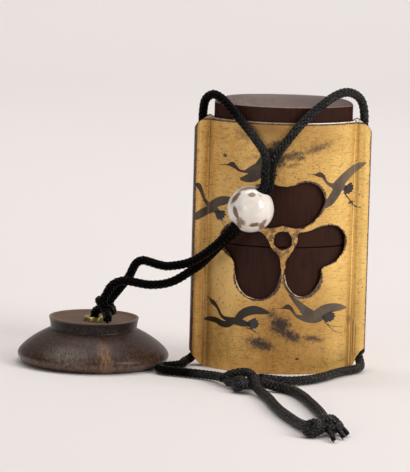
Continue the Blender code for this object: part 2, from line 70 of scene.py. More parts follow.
class Field:
    """A number, vector or colour that varies over a piece; arithmetic on it adds nodes."""

    def __init__(self, tree, socket):
        self.tree, self.socket = tree, socket

    def math(self, operation, *others):
        return put(self.tree, "ShaderNodeMath", dict(enumerate((self, *others))), operation=operation)

    def __add__(self, other):
        return self.math("ADD", other)

    def __sub__(self, other):
        return self.math("SUBTRACT", other)

    def __mul__(self, other):
        return self.math("MULTIPLY", other)

    def __truediv__(self, other):
        return self.math("DIVIDE", other)

    def __abs__(self):
        return self.math("ABSOLUTE")

    def vector(self, operation, other=(0.0, 0.0, 0.0), out="Vector"):
        return put(self.tree, "ShaderNodeVectorMath", {0: self, 1: other}, out, operation=operation)

    def scaled(self, by):
        return put(self.tree, "ShaderNodeVectorMath", {0: self, "Scale": by}, operation="SCALE")

    def length(self):
        return self.vector("LENGTH", out="Value")

    def distance(self, point):
        return self.vector("DISTANCE", point, "Value")

    def dot(self, direction):
        return self.vector("DOT_PRODUCT", direction, "Value")

    def parts(self):
        """The vector's X, Y and Z."""
        outputs = put(self.tree, "ShaderNodeSeparateXYZ", {"Vector": self}).socket.node.outputs
        return [Field(self.tree, socket) for socket in outputs]

    def stretched(self, scale, tilt=0.0):
        turn = (0.0, math.radians(tilt), 0.0)
        return put(self.tree, "ShaderNodeMapping", {"Vector": self, "Rotation": turn, "Scale": scale})

    def reach_from(self, centre, half_sizes, tilt=0.0):
        """Distance from an oval's centre, which is 1 on the oval."""
        place = put(self.tree, "ShaderNodeMapping", {
            "Vector": self, "Location": centre, "Rotation": (0.0, math.radians(-tilt), 0.0),
            "Scale": half_sizes}, vector_type="TEXTURE")
        return place.length()

    def fade(self, start, end, low=0.0, high=1.0):
        """Smooth step from low at start to high at end."""
        return put(self.tree, "ShaderNodeMapRange", {
            "Value": self, "From Min": start, "From Max": end, "To Min": low, "To Max": high,
        }, interpolation_type="SMOOTHSTEP")

    def noise(self, scale, detail=2.0, roughness=0.5, distortion=0.0):
        return put(self.tree, "ShaderNodeTexNoise", {
            "Vector": self, "Scale": scale, "Detail": detail, "Roughness": roughness, "Distortion": distortion})

    def cells(self, scale, **settings):
        return put(self.tree, "ShaderNodeTexVoronoi", {"Vector": self, "Scale": scale, "Randomness": 1.0}, **settings)

    def mix(self, below, above, mode="MIX"):
        """Colour between two colours, by this share of the one above."""
        below, above = (c if isinstance(c, Field) else (*c, 1.0) for c in (below, above))
        return put(self.tree, "ShaderNodeMix", {0: self, 6: below, 7: above}, 2, data_type="RGBA", blend_type=mode)


def combine(x, y, z):
    return put(x.tree, "ShaderNodeCombineXYZ", {"X": x, "Y": y, "Z": z})


def strongest(fields):
    return reduce(lambda a, b: a.math("MAXIMUM", b), fields)


def layered(colour, layers):
    """Lay colours over a colour in turn, each by its own share."""
    for share, above, *mode in layers:
        colour = share.mix(colour, above, *mode)
    return colour


class Finish:
    """A material in the making, with the places on its piece in millimetres."""

    def __init__(self, name):
        self.material = bpy.data.materials.new(name)
        self.material.use_nodes = True
        self.tree = self.material.node_tree
        self.where = put(self.tree, "ShaderNodeTexCoord", out="Object").stretched((1 / MM, 1 / MM, 1 / MM))
        self.x, self.y, self.z = self.where.parts()
        self.noise = self.where.noise

    def flat(self):
        """The same places with their depth set to nothing, for patterns seen from the front."""
        return combine(self.x, 0.0, self.z)

    def done(self, sockets, grain=None, strength=0.0, depth=0.0):
        """Give the shader its sockets and its grain, and return the material."""
        if grain is not None:
            bump = {"Height": grain, "Strength": strength, "Distance": depth}
            sockets = {**sockets, "Normal": put(self.tree, "ShaderNodeBump", bump)}
        connect(self.tree, self.tree.nodes["Principled BSDF"], sockets)
        return self.material


# ---------------------------------------------------------------- objects


def new_object(name, data):
    obj = bpy.data.objects.new(name, data)
    bpy.context.scene.collection.objects.link(obj)
    return obj


def settle_mesh(obj, name, smooth_angle=None):
    """Plain mesh of an object with its modifiers applied; it and its cutters go."""
    shown = obj.evaluated_get(bpy.context.evaluated_depsgraph_get())
    mesh = bpy.data.meshes.new_from_object(shown)
    mesh.name = name
    if smooth_angle is not None:
        mesh.set_sharp_from_angle(angle=math.radians(smooth_angle))
    for spent in [m.object for m in obj.modifiers if m.type == "BOOLEAN"] + [obj]:
        bpy.data.objects.remove(spent, do_unlink=True)
    return new_object(name, mesh)


def add_object(name, bm, materials=(), smooth_angle=35):
    bmesh.ops.recalc_face_normals(bm, faces=bm.faces)
    mesh = bpy.data.meshes.new(name)
    bm.to_mesh(mesh)
    bm.free()
    mesh.shade_smooth()
    mesh.set_sharp_from_angle(angle=math.radians(smooth_angle))
    for material in materials:
        mesh.materials.append(material)
    return new_object(name, mesh)


def hand_over(piece, node):
    """Fix a piece to the case, in place of its plain solid if it has one."""
    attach(piece, "root")
    if node:
        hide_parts(node)
    return piece


def bridge(bm, rings, closed=False):
    """Faces between neighbouring rings of vertices; a ring of one vertex is a pole."""
    for low, high in zip(rings, rings[1:] + rings[:1] if closed else rings[1:]):
        count = max(len(low), len(high))
        for i in range(count):
            j = (i + 1) % count
            corners = [low[0]] if len(low) == 1 else [low[i], low[j]]
            corners += [high[0]] if len(high) == 1 else [high[j], high[i]]
            bm.faces.new(corners)


def rounded(points, steps, closed=False):
    """Catmull-Rom curve through rows of numbers, with steps to each stretch."""
    rows = np.array(points, dtype=float)
    if closed:
        rows = np.vstack([rows[-1:], rows, rows[:2]])
    else:
        rows = np.vstack([2 * rows[0] - rows[1], rows, 2 * rows[-1] - rows[-2]])
    a, b, c, d = (rows[k:len(rows) - 3 + k] for k in range(4))
    fine = [
        0.5 * (2 * b + (c - a) * t + (2 * a - 5 * b + 4 * c - d) * t**2 + (3 * b - a - 3 * c + d) * t**3)
        for t in np.arange(steps) / steps
    ]
    fine = np.stack(fine, axis=1).reshape(-1, rows.shape[1])
    return fine if closed else np.vstack([fine, rows[-2:-1]])


def evenly(points, gap, closed=False):
    """The same line with a point about every gap."""
    if closed:
        points = np.vstack([points, points[:1]])
    reach = np.concatenate([[0.0], np.cumsum(np.linalg.norm(np.diff(points, axis=0), axis=1))])
    marks = np.linspace(0.0, reach[-1], max(2, round(reach[-1] / gap) + 1))
    marks = marks[:-1] if closed else marks
    return np.stack([np.interp(marks, reach, column) for column in points.T], axis=1)


# ---------------------------------------------------------------- camera, light and floor

CAMERA_PLACE = (-0.02467, -1.18831, 0.21007)
CAMERA_DOWN = math.radians(8.004)
CAMERA_ROLL = math.radians(1.503)
CAMERA_LENS = 278.7

# Share of the room's light, (from, to, share at from, share at to), by direction.
AIR_SIDEWAYS = (-0.9, 0.8, 0.40, 1.0)
AIR_DEPTH = (-0.8, 0.5, 0.55, 1.0)
AIR_ABOVE = (0.35, 0.85, 0.0, 1.0)
AIR_STRENGTH = 0.62

# Soft boxes: name, place, aim, size, watts and colour.
LIGHTS = [
    ("key_light", (0.9, -0.6, 0.6), (0.0, 0.0, 0.04), (0.45, 0.6), 8.0, (1.0, 0.97, 0.94)),
    ("front_fill", (-0.75, -1.3, 0.34), (-0.01, 0.0, 0.05), (0.5, 0.4), 3.2, (1.0, 0.96, 0.92)),
    ("top_light", (0.2, 0.1, 1.1), (0.0, 0.0, 0.0), (0.7, 0.5), 1.2, (1.0, 1.0, 1.0)),
    ("backdrop_light", (0.0, 0.35, 1.5), (0.0, 1.7, 0.45), (2.2, 0.6), 13.9, (1.0, 1.0, 1.0)),
]

SWEEP_HALF_WIDTH = 3.0
SWEEP_BEND_AT = 0.9
SWEEP_BEND_RADIUS = 0.8


def make_camera():
    data = bpy.data.cameras.new("studio_camera")
    data.lens = CAMERA_LENS
    data.sensor_width = 36.0
    data.clip_start = 0.05
    data.clip_end = 20.0
    camera = new_object("studio_camera", data)
    facing = Matrix.Rotation(math.pi / 2 - CAMERA_DOWN, 4, "X")
    camera.matrix_world = Matrix.Translation(CAMERA_PLACE) @ facing @ Matrix.Rotation(CAMERA_ROLL, 4, "Z")
    bpy.context.scene.camera = camera


def make_lights():
    for name, place, aim, size, watts, colour in LIGHTS:
        data = bpy.data.lights.new(name, "AREA")
        data.shape = "RECTANGLE"
        data.size, data.size_y = size
        data.energy = watts
        data.color = colour
        turn = (Vector(aim) - Vector(place)).to_track_quat("-Z", "Y")
        new_object(name, data).matrix_world = Matrix.Translation(place) @ turn.to_matrix().to_4x4()


def make_air():
    """Soft room light: bright above and on the right, dim on the left and in front."""
    world = bpy.data.worlds.new("studio_air")
    world.use_nodes = True
    tree = world.node_tree
    x, y, z = put(tree, "ShaderNodeTexCoord", out="Generated").parts()
    level = strongest([x.fade(*AIR_SIDEWAYS) * y.fade(*AIR_DEPTH), z.fade(*AIR_ABOVE)])
    colour = (1.0, 0.955, 0.935, 1.0)
    connect(tree, tree.nodes["Background"], {"Color": colour, "Strength": level * AIR_STRENGTH})
    bpy.context.scene.world = world


def make_sweep():
    """Paper floor that bends up behind the case."""
    bend = np.linspace(0.08, 0.67, 12)
    profile = [(-2.5, 0.0), (SWEEP_BEND_AT, 0.0)]
    profile += [(SWEEP_BEND_AT + SWEEP_BEND_RADIUS * math.sin(a), SWEEP_BEND_RADIUS * (1 - math.cos(a))) for a in bend]
    sweep = bmesh.new()
    left, right = ([sweep.verts.new((x, y, z)) for y, z in profile] for x in (-SWEEP_HALF_WIDTH, SWEEP_HALF_WIDTH))
    for i in range(len(profile) - 1):
        sweep.faces.new((left[i], right[i], right[i + 1], left[i + 1]))
    mesh = bpy.data.meshes.new("studio_sweep")
    sweep.to_mesh(mesh)
    sweep.free()
    mesh.shade_smooth()
    finish = Finish("studio_paper")
    tone = finish.noise(0.004).mix((0.84, 0.80, 0.785), (0.86, 0.82, 0.805))
    mesh.materials.append(finish.done({"Base Color": tone, "Roughness": 0.8, "Specular IOR Level": 0.2}))
    new_object("studio_sweep", mesh)


bpy.context.scene.view_settings.view_transform = "Standard"
make_camera()
make_air()
make_lights()
make_sweep()


# ---------------------------------------------------------------- node groups for the cord


def start_group(name, table):
    """Node group that takes a path and named inputs; returns it and its inputs as fields."""
    group = bpy.data.node_groups.new(name, "GeometryNodeTree")
    group.interface.new_socket("Geometry", in_out="INPUT", socket_type="NodeSocketGeometry")
    kinds = {int: "NodeSocketInt", float: "NodeSocketFloat", type(None): "NodeSocketMaterial"}
    for key, value in table.items():
        socket = group.interface.new_socket(key, in_out="INPUT", socket_type=kinds[type(value)])
        if value is not None:
            socket.default_value = value
    group.interface.new_socket("Geometry", in_out="OUTPUT", socket_type="NodeSocketGeometry")
    source = group.nodes.new("NodeGroupInput")
    return group, {key: Field(group, source.outputs[key]) for key in ["Geometry", *table]}


def end_group(mesh, finish):
    """Smooth, realize and dye the mesh that the group gives out."""
    group = mesh.tree
    mesh = put(group, "GeometryNodeSetShadeSmooth", {"Geometry": mesh})
    mesh = put(group, "GeometryNodeRealizeInstances", {"Geometry": mesh})
    mesh = put(group, "GeometryNodeSetMaterial", {"Geometry": mesh, "Material": finish})
    connect(group, group.nodes.new("NodeGroupOutput"), {"Geometry": mesh})
    return group


def capture(geometry, kind, value):
    """Keep a value on the geometry's points; returns the geometry and the kept value."""
    tree = geometry.tree
    node = tree.nodes.new("GeometryNodeCaptureAttribute")
    node.capture_items.new(kind, "Value")
    node.domain = "POINT"
    connect(tree, node, {"Geometry": geometry, 1: value})
    return Field(tree, node.outputs["Geometry"]), Field(tree, node.outputs[1])


def copies_along(path, amount, measure):
    """Copies of a path; returns them, their number, and the path's normal, side and measure."""
    tree = path.tree
    path, normal = capture(path, "VECTOR", put(tree, "GeometryNodeInputNormal"))
    path, tangent = capture(path, "VECTOR", put(tree, "GeometryNodeInputTangent"))
    path, along = capture(path, "FLOAT", put(tree, "GeometryNodeSplineParameter", out=measure))
    side = tangent.vector("CROSS_PRODUCT", normal)

    def copy():
        copies = put(tree, "GeometryNodeDuplicateElements", {"Geometry": path, "Amount": amount}, domain="SPLINE")
        return copies, Field(tree, copies.socket.node.outputs["Duplicate Index"])

    return copy, normal, side, along


def round_about(normal, side, angle):
    return normal.scaled(angle.math("COSINE")).vector("ADD", side.scaled(angle.math("SINE")))


def wire(path, sides, radius, stretch=None):
    """Tube along a path, with its round section stretched where asked."""
    tree = path.tree
    ring = put(tree, "GeometryNodeCurvePrimitiveCircle", {"Resolution": sides, "Radius": radius}, mode="RADIUS")
    if stretch:
        ring = put(tree, "GeometryNodeTransform", {"Geometry": ring, "Scale": stretch})
    return put(tree, "GeometryNodeCurveToMesh", {"Curve": path, "Profile Curve": ring, "Fill Caps": True})


def build_braid_group():
    """Round braid: half of the strands wind each way round a path, over and under in turn."""
    group, given = start_group("round_braid", {
        "Strands Each Way": 6, "Braid Radius": 1.10 * MM, "Weave Depth": 0.17 * MM,
        "Strand Half Width": 0.47 * MM, "Strand Half Height": 0.28 * MM,
        "Crossing Spacing": 0.80 * MM, "Core Radius": 0.99 * MM, "Finish": None,
    })
    path, ways = given["Geometry"], given["Strands Each Way"]
    copy, normal, side, along = copies_along(path, ways, "Length")
    # One full turn takes 2 * ways crossings, so the turn rate follows from their spacing.
    phase = along * math.pi / given["Crossing Spacing"]
    strands = []
    for hand in (1.0, -1.0):
        copies, number = copy()
        angle = phase / ways * hand + number / ways * math.tau
        copies, outward = capture(copies, "VECTOR", round_about(normal, side, angle))
        wave = phase.math("COSINE") * hand * given["Weave Depth"]
        copies, radius = capture(copies, "FLOAT", given["Braid Radius"] + wave)
        moved = put(group, "GeometryNodeSetPosition", {"Geometry": copies, "Offset": outward.scaled(radius)})
        strands.append(put(group, "GeometryNodeSetCurveNormal", {"Curve": moved, "Normal": outward}, mode="FREE"))
    both = put(group, "GeometryNodeJoinGeometry", {"Geometry": strands})
    braid = wire(both, 5, 1.0, combine(given["Strand Half Height"], given["Strand Half Width"], 1.0))
    core = wire(path, 8, given["Core Radius"])
    return end_group(put(group, "GeometryNodeJoinGeometry", {"Geometry": [braid, core]}), given["Finish"])


def build_tuft_group():
    """Loose fibres that follow a path, bunched where they start and spread where they end."""
    group, given = start_group("frayed_tuft", {
        "Fibres": 60, "Root Spread": 0.85 * MM, "Tip Spread": 0.65 * MM, "Fibre Radius": 0.13 * MM,
        "Seed": 5, "Finish": None,
    })
    copy, normal, side, share = copies_along(given["Geometry"], given["Fibres"], "Factor")
    copies, number = copy()

    def chance(low, high, offset):
        """Random number for each fibre."""
        node = group.nodes.new("FunctionNodeRandomValue")
        node.data_type = "FLOAT"
        sockets = {socket.name: socket for socket in node.inputs if socket.enabled}
        sockets["Min"].default_value, sockets["Max"].default_value = low, high
        group.links.new(number.socket, sockets["ID"])
        group.links.new((given["Seed"] + offset).socket, sockets["Seed"])
        return Field(group, next(socket for socket in node.outputs if socket.enabled))

    angle = chance(0.0, math.tau, 0)
    spread = put(group, "ShaderNodeMapRange", {
        "Value": share, "To Min": given["Root Spread"], "To Max": given["Tip Spread"]})
    kink = (share * 7.0 + angle).math("SINE") * (0.12 * MM)
    reach = chance(0.0, 1.0, 1).math("SQRT") * spread + kink
    offset = round_about(normal, side, angle).scaled(reach)
    moved = put(group, "GeometryNodeSetPosition", {"Geometry": copies, "Offset": offset})
    ends = {"Curve": moved, "End": chance(0.82, 1.0, 2)}
    trimmed = put(group, "GeometryNodeTrimCurve", ends, mode="FACTOR")
    return end_group(wire(trimmed, 5, given["Fibre Radius"]), given["Finish"])


def grow(name, lines, group, sizes):
    """Plain mesh of what a node group grows along lines of points."""
    data = bpy.data.curves.new(name + "_path", "CURVE")
    data.dimensions = "3D"
    for points in lines:
        spline = data.splines.new("POLY")
        spline.points.add(len(points) - 1)
        for spot, point in zip(spline.points, points):
            spot.co = (*point, 1.0)
    guide = new_object(name + "_path", data)
    modifier = guide.modifiers.new(group.name, "NODES")
    modifier.node_group = group
    for item in group.interface.items_tree:
        if item.in_out == "INPUT" and item.name in sizes:
            modifier[item.identifier] = sizes[item.name]
    return settle_mesh(guide, name)


def make_cord_finish():
    """Black braid: worn, with glints painted as light flecks, and with painted shade, darker and duller, on the raised
    left and above the bead.
    """
    finish = Finish("black_braid")
    x, z = finish.x, finish.z
    fibre = finish.noise(7.0, 3.0, 0.6)
    raised = strongest([z.fade(5.0, 9.0), x.fade(-24.0, -30.0)])
    crossing = z.fade(44.0, 50.0) * z.fade(76.0, 68.0)
    # Painted shade: a darker colour, and Metallic over a near-black colour that takes the shine off, on the raised
    # left and above the bead.
    painted_dull_shade = strongest([x.fade(-9.0, -17.0) * raised, crossing * 0.6])
    black = layered(fibre.mix((0.002, 0.002, 0.0022), (0.008, 0.0075, 0.007)), [
        (finish.noise(0.16, 2.0).fade(0.45, 0.8), (0.011, 0.0095, 0.008)),
        # Painted highlight: sparse light grey flecks in the base colour stand in for glints on the plaits.
        (finish.noise(1.9, 2.0, 0.5).fade(0.57, 0.66, 0.0, 0.8), (0.085, 0.080, 0.076)),
        (painted_dull_shade, (0.0050, 0.0045, 0.0042)),
    ])
    return finish.done({
        "Base Color": black, "Metallic": painted_dull_shade, "Roughness": 0.22, "Specular IOR Level": 0.24,
    }, fibre, 0.2, 0.00005)


# ---------------------------------------------------------------- cord and knots

CORD = 3.0 * MM
STRAND_STEP = 0.2 * MM
KNOT_STEP = 0.15 * MM
FRAY_STEP = 0.4 * MM

# Left strand: from the toggle's knot through the bead, over the case, down its left tube.
LEFT_ROUTE_MM = [
    (-54.2, -4.9, 23.1), (-52.4, -4.5, 25.3), (-49.2, -4.6, 29.6), (-48.1, -4.7, 32.0),
    (-46.9, -4.9, 34.1), (-45.0, -5.5, 35.2), (-42.7, -6.3, 34.9), (-39.3, -7.3, 34.1),
    (-35.8, -8.6, 34.0), (-28.8, -12.8, 36.3), (-21.7, -18.5, 42.1), (-15.77, -21.71, 48.9),
    (-11.02, -21.71, 55.58), (-6.26, -21.71, 62.26), (-5.9, -21.0, 66.6), (-5.6, -19.0, 69.9),
    (-6.3, -16.9, 73.1), (-10.0, -14.6, 78.2), (-17.2, -10.4, 86.3), (-20.3, -7.4, 89.2),
    (-23.2, -4.2, 90.2), (-25.6, -1.5, 88.2), (-26.33, -0.1, 84.0), (-26.33, 0, 79.0),
    (-26.33, 0, 66.0), (-26.33, 0, 18.0), (-26.33, 0, 10.0), (-26.33, 0, 6.2), (-27.0, 0, 3.9),
    (-28.7, -0.6, 2.2), (-30.3, -3.2, 1.7), (-31.0, -8.2, 1.7), (-33.6, -11.8, 1.7),
    (-37.0, -14.1, 1.7), (-38.5, -17.3, 1.7), (-37.2, -20.6, 1.7), (-33.4, -22.7, 1.7),
    (-25.4, -26.2, 1.7), (-19.6, -31.4, 2.0), (-17.6, -37.8, 2.6),
]

# Right strand: as the left one, behind it in the bead, and down the right tube.
RIGHT_ROUTE_MM = [
    (-56.4, -8.8, 24.1), (-55.0, -9.2, 26.7), (-52.7, -9.4, 28.4), (-49.4, -9.4, 28.8),
    (-42.0, -9.0, 27.7), (-35.0, -8.8, 28.9), (-28.4, -9.2, 33.1), (-25.1, -11.0, 35.9),
    (-18.2, -16.8, 44.0), (-14.14, -18.89, 47.74), (-9.38, -18.89, 54.42), (-4.63, -18.89, 61.1),
    (-4.0, -17.7, 65.6), (-3.3, -16.2, 69.4), (-1.4, -15.6, 73.3), (1.5, -15.5, 77.2), (4.6, -15.3, 81.3),
    (8.0, -14.2, 84.9), (12.0, -12.5, 88.3), (16.1, -9.9, 91.1), (19.9, -6.6, 92.2),
    (23.2, -3.5, 91.2), (25.4, -1.2, 88.6), (26.33, -0.1, 84.4), (26.33, 0, 79.0),
    (26.33, 0, 66.0), (26.33, 0, 18.0), (26.33, 0, 10.0), (26.35, 0, 6.6), (27.0, -0.7, 4.2),
    (27.5, -3.0, 2.5), (27.2, -6.4, 1.8), (25.6, -9.8, 1.7), (22.8, -12.8, 1.7),
    (19.2, -17.6, 1.7), (15.4, -24.4, 1.7), (11.2, -30.2, 1.7), (7.0, -33.4, 1.7),
    (2.4, -35.2, 1.8), (-2.4, -36.6, 2.4), (-6.0, -38.8, 3.2),
]

TAIL_LEFT_ROUTE_MM = [
    (-7.6, -50.6, 2.9), (-6.2, -55.0, 2.0), (-4.9, -59.4, 1.7), (-3.9, -63.9, 1.6),
    (-3.1, -68.4, 1.6), (-2.5, -72.8, 1.6), (-1.8, -77.3, 1.6), (-1.0, -81.8, 1.6),
    (-0.2, -86.2, 1.6), (0.9, -90.7, 1.6), (2.0, -95.1, 1.6), (3.2, -99.6, 1.6),
    (4.4, -104.0, 1.6), (5.7, -108.4, 1.8), (7.0, -112.8, 2.2),
]

TAIL_RIGHT_ROUTE_MM = [
    (-5.2, -44.9, 2.7), (-1.4, -46.0, 1.9), (2.4, -48.4, 1.6), (5.2, -53.4, 1.6), (6.8, -59.0, 1.6),
    (8.0, -63.9, 1.6), (8.9, -68.9, 1.6), (9.8, -73.8, 1.6), (10.7, -78.8, 1.6), (11.5, -83.8, 1.6),
    (12.2, -88.8, 1.6), (12.7, -93.8, 1.6), (13.1, -98.8, 1.8), (13.6, -103.8, 2.1),
    (13.9, -108.8, 3.0),
]

# The cord's hitch at the toggle: both strands come down into it, a turn goes round them,
# one strand ends in the eyelet and the other lies over the dish.
HITCH_TURNS_MM = [
    [(-54.2, -4.9, 23.1), (-55.4, -5.7, 21.5), (-56.9, -5.4, 19.7), (-58.6, -3.7, 18.4), (-59.9, -1.9, 17.4),
     (-60.4, -1.2, 15.2)],
    [(-56.4, -8.8, 24.1), (-57.4, -8.8, 21.9), (-57.0, -9.1, 19.9), (-56.2, -11.1, 18.4), (-55.8, -13.7, 17.7),
     (-55.6, -15.7, 17.1)],
    [(-54.9, -8.1, 18.7), (-54.6, -5.7, 18.9), (-56.0, -3.9, 20.3), (-58.2, -4.9, 21.5), (-58.6, -7.5, 21.7),
     (-57.2, -9.4, 20.7), (-55.2, -9.1, 19.1), (-54.3, -6.9, 18.3)],
]

# The front knot: the left strand humps over into the near tail, the right one goes under
# it, round the front in a small ball, and back out into the far tail.
FRONT_TURNS_MM = [
    [(-17.6, -37.8, 2.6), (-15.4, -38.6, 3.9), (-12.4, -39.6, 4.9), (-9.9, -41.4, 5.2), (-8.4, -44.2, 4.8),
     (-7.7, -47.4, 3.9), (-7.6, -50.6, 2.9)],
    [(-6.0, -38.8, 3.2), (-8.6, -39.6, 2.2), (-11.2, -41.4, 1.7), (-13.3, -44.6, 1.7), (-13.7, -48.2, 1.8),
     (-12.9, -50.6, 2.3), (-11.3, -50.9, 2.8), (-10.2, -48.8, 2.9), (-9.2, -46.4, 2.0), (-7.4, -45.3, 2.2),
     (-5.2, -44.9, 2.7)],
    [(-16.2, -40.4, 1.8), (-14.6, -43.0, 2.4), (-12.8, -45.6, 3.4), (-11.6, -48.4, 3.9), (-12.0, -50.8, 3.3),
     (-12.2, -51.8, 2.2)],
]

# The knot at the tails' ends: a turn for each tail, a short bridge, and three frayed ends.
END_TURNS_MM = [
    [(7.0, -112.8, 2.2), (7.6, -115.8, 2.0), (8.2, -119.4, 2.0), (10.0, -120.2, 3.0), (10.0, -117.8, 4.0),
     (8.0, -117.2, 3.6), (7.0, -119.2, 2.2), (8.6, -121.0, 1.7), (10.8, -118.6, 2.2), (12.6, -116.4, 2.8)],
    [(13.9, -108.8, 3.0), (14.2, -110.8, 3.3), (12.9, -113.2, 3.0), (12.8, -116.2, 2.6), (14.8, -117.6, 2.4),
     (16.7, -115.6, 2.6), (16.6, -112.8, 2.8), (14.8, -111.8, 4.3), (13.6, -114.4, 4.4), (15.2, -116.4, 3.4)],
]
END_FRAYS_MM = [
    [(15.4, -112.8, 3.4), (17.2, -113.6, 2.4), (18.8, -116.0, 1.4), (19.4, -118.5, 1.3)],
    [(15.6, -115.6, 2.8), (17.0, -119.2, 1.9), (18.0, -123.2, 1.2)],
    [(13.6, -116.4, 2.4), (14.3, -122.0, 1.7), (15.0, -128.2, 1.2)],
]


def make_knot(name, node, loops_mm, frays_mm=()):
    """Tight knot of braid, one line for each turn of cord in it, with any frayed ends."""
    piece = grow(name, [evenly(rounded(loop, 12) * MM, KNOT_STEP) for loop in loops_mm], braid_group, cord_look)
    if frays_mm:
        ends = [evenly(rounded(end, 8) * MM, FRAY_STEP) for end in frays_mm]
        frays = grow(name + "_frays", ends, build_tuft_group(), cord_look)
        whole = bmesh.new()
        whole.from_mesh(piece.data)
        whole.from_mesh(frays.data)
        for face in whole.faces:
            face.material_index = 0
        whole.to_mesh(piece.data)
        whole.free()
        piece.data.materials.clear()
        piece.data.materials.append(cord_look["Finish"])
        bpy.data.objects.remove(frays, do_unlink=True)
    return hand_over(piece, node)


def make_strand(name, node, route_mm, sizes=None):
    curve = evenly(rounded(route_mm, 24) * MM, STRAND_STEP)
    piece = hand_over(grow(name, [curve], braid_group, {**cord_look, **(sizes or {})}), node)


LOOSE_TAIL = {"Braid Radius": 1.2 * MM, "Strand Half Width": 0.52 * MM, "Core Radius": 1.08 * MM}

braid_group = build_braid_group()
cord_look = {"Finish": make_cord_finish()}
hitch = make_knot("toggle_hitch", "netsuke_knot", HITCH_TURNS_MM)
front_knot = make_knot("front_knot_turns", "front_knot", FRONT_TURNS_MM)
end_knot = make_knot("end_knot_turns", "end_knot", END_TURNS_MM, END_FRAYS_MM)
make_strand("braided_cord_left", "cord_left", LEFT_ROUTE_MM)
make_strand("braided_cord_right", "cord_right", RIGHT_ROUTE_MM)
make_strand("braided_tail_left", "tail_left", TAIL_LEFT_ROUTE_MM, LOOSE_TAIL)
make_strand("braided_tail_right", "tail_right", TAIL_RIGHT_ROUTE_MM, sizes=LOOSE_TAIL)


# ---------------------------------------------------------------- plan outlines

GAP = 0.3 * MM
ARC_OFFSET = 15.6 * MM
SHEATH_ARC = 29.3 * MM
SHEATH_WALL = 1.1 * MM
SHEATH_FLOOR = 1.2 * MM
RIM_HEIGHT = 82.4 * MM
SHOULDER_HEIGHT = 83.2 * MM
SHOULDER_X = 24.0 * MM
TUBE_X = 26.33 * MM
TUBE_RADIUS = 2.67 * MM
GROOVE_RADIUS = 1.2 * MM
CORNER_CUT = 4.5 * MM
CORNER_BULGE = 0.6 * MM
FOOT_LEFT = (24.2 * MM, 5.5 * MM)
FOOT_RIGHT = (23.1 * MM, 6.1 * MM)
FOOT_BULGE = 0.35 * MM
CHIP_DEPTH = 0.7 * MM
CHIP_OUTLINE_MM = [(24.6, -1), (25.1, 1.9), (26.0, 4.4), (27.2, 6.3), (28.3, 7.0), (31, 7.6), (31, -1)]

TIER_ARC = SHEATH_ARC - SHEATH_WALL - GAP
TIER_HALF_WIDTH = 22.65 * MM
TIER_WALL = 1.1 * MM
RISER_WALL = 1.0 * MM
RISER_HEIGHT = 4.0 * MM
TIER_FLOOR = 1.3 * MM
SEAMS = (19.6 * MM, 41.4 * MM, 64.0 * MM)
LID_EDGE_HEIGHT = 87.3 * MM
LID_ROOF = 1.5 * MM
DOME_RISE = 3.0 * MM
DOME_SCALES = (0.9985, 0.995, 0.988, 0.977, 0.96, 0.94, 0.91, 0.87, 0.82, 0.76, 0.69, 0.61, 0.52, 0.42, 0.3, 0.17)

RING_CENTRE = (0.65 * MM, 44.0 * MM)
RING_HOLE = 2.9 * MM
# The openwork's three openings, top, right and left: points (x, z) in millimetres.
OPENINGS_MM = [
    [
        (-5.6, 48.2), (-3.4, 48.0), (-1.3, 48.4), (0.9, 48.9), (3.1, 48.3), (5.3, 48.1), (7.8, 48.6),
        (10.2, 50.1), (12.2, 52.4), (13.6, 55.2), (13.9, 57.8), (12.9, 60.4), (11.1, 62.2),
        (8.9, 62.9), (6.6, 62.9), (4.4, 62.2), (2.6, 61.6), (0.9, 61.5), (-1.0, 61.7), (-2.8, 62.2),
        (-4.8, 62.3), (-7.0, 61.8), (-9.0, 60.5), (-10.3, 58.5), (-10.8, 56.1), (-10.4, 53.5),
        (-9.1, 51.2), (-7.4, 49.4),
    ],
    [
        (5.9, 46.2), (9.2, 47.2), (12.9, 48.3), (16.3, 48.7), (18.9, 47.9), (20.7, 45.7), (21.1, 43.1),
        (20.5, 39.9), (18.5, 37.2), (16.0, 35.8), (13.7, 34.8), (13.4, 32.4), (12.6, 29.9),
        (11.0, 27.5), (8.9, 26.0), (6.7, 25.6), (4.6, 26.6), (2.8, 28.7), (1.9, 31.4), (1.7, 34.6),
        (2.3, 37.7), (3.5, 39.9), (4.8, 41.8), (5.5, 44.0),
    ],
    [
        (-4.2, 43.9), (-3.1, 41.6), (-1.5, 39.8), (-0.2, 37.8), (0.1, 35.0), (-0.2, 31.5),
        (-1.1, 28.6), (-2.8, 26.2), (-4.8, 24.8), (-6.8, 24.5), (-9.1, 24.7), (-11.3, 25.7),
        (-13.3, 28.1), (-14.4, 31.5), (-14.7, 35.1), (-16.6, 38.4), (-18.5, 40.6), (-19.3, 43.3),
        (-18.7, 46.0), (-16.8, 47.9), (-14.2, 48.6), (-11.2, 48.2), (-8.6, 47.2), (-6.0, 46.0),
    ],
]
# Round ends of those openings, for the wear near their edges: x, z and radius.
LOBES_MM = [
    (8.0, 57.0, 6.0), (-5.0, 56.4, 5.8), (15.5, 43.0, 5.6), (7.5, 31.5, 5.9), (-13.7, 43.2, 5.6), (-7.2, 31.7, 7.2),
]

CORD_ROOM = CORD / 2 + GAP
MOUTH_FLARE = 0.6 * MM
MOUTH_DEPTH = 9.0 * MM
SKIN_DEPTH = 0.22 * MM

# Ends of prisms that cut right through a part.
WELL_OUT = 20 * MM
TO_THE_RIGHT = 32 * MM
WELL_ABOVE = 95 * MM


def arc(centre, radius, start, end, steps):
    """Points from angle start to angle end, both included."""
    turns = [start + (end - start) * i / steps for i in range(steps + 1)]
    return [(centre[0] + radius * math.cos(a), centre[1] + radius * math.sin(a)) for a in turns]


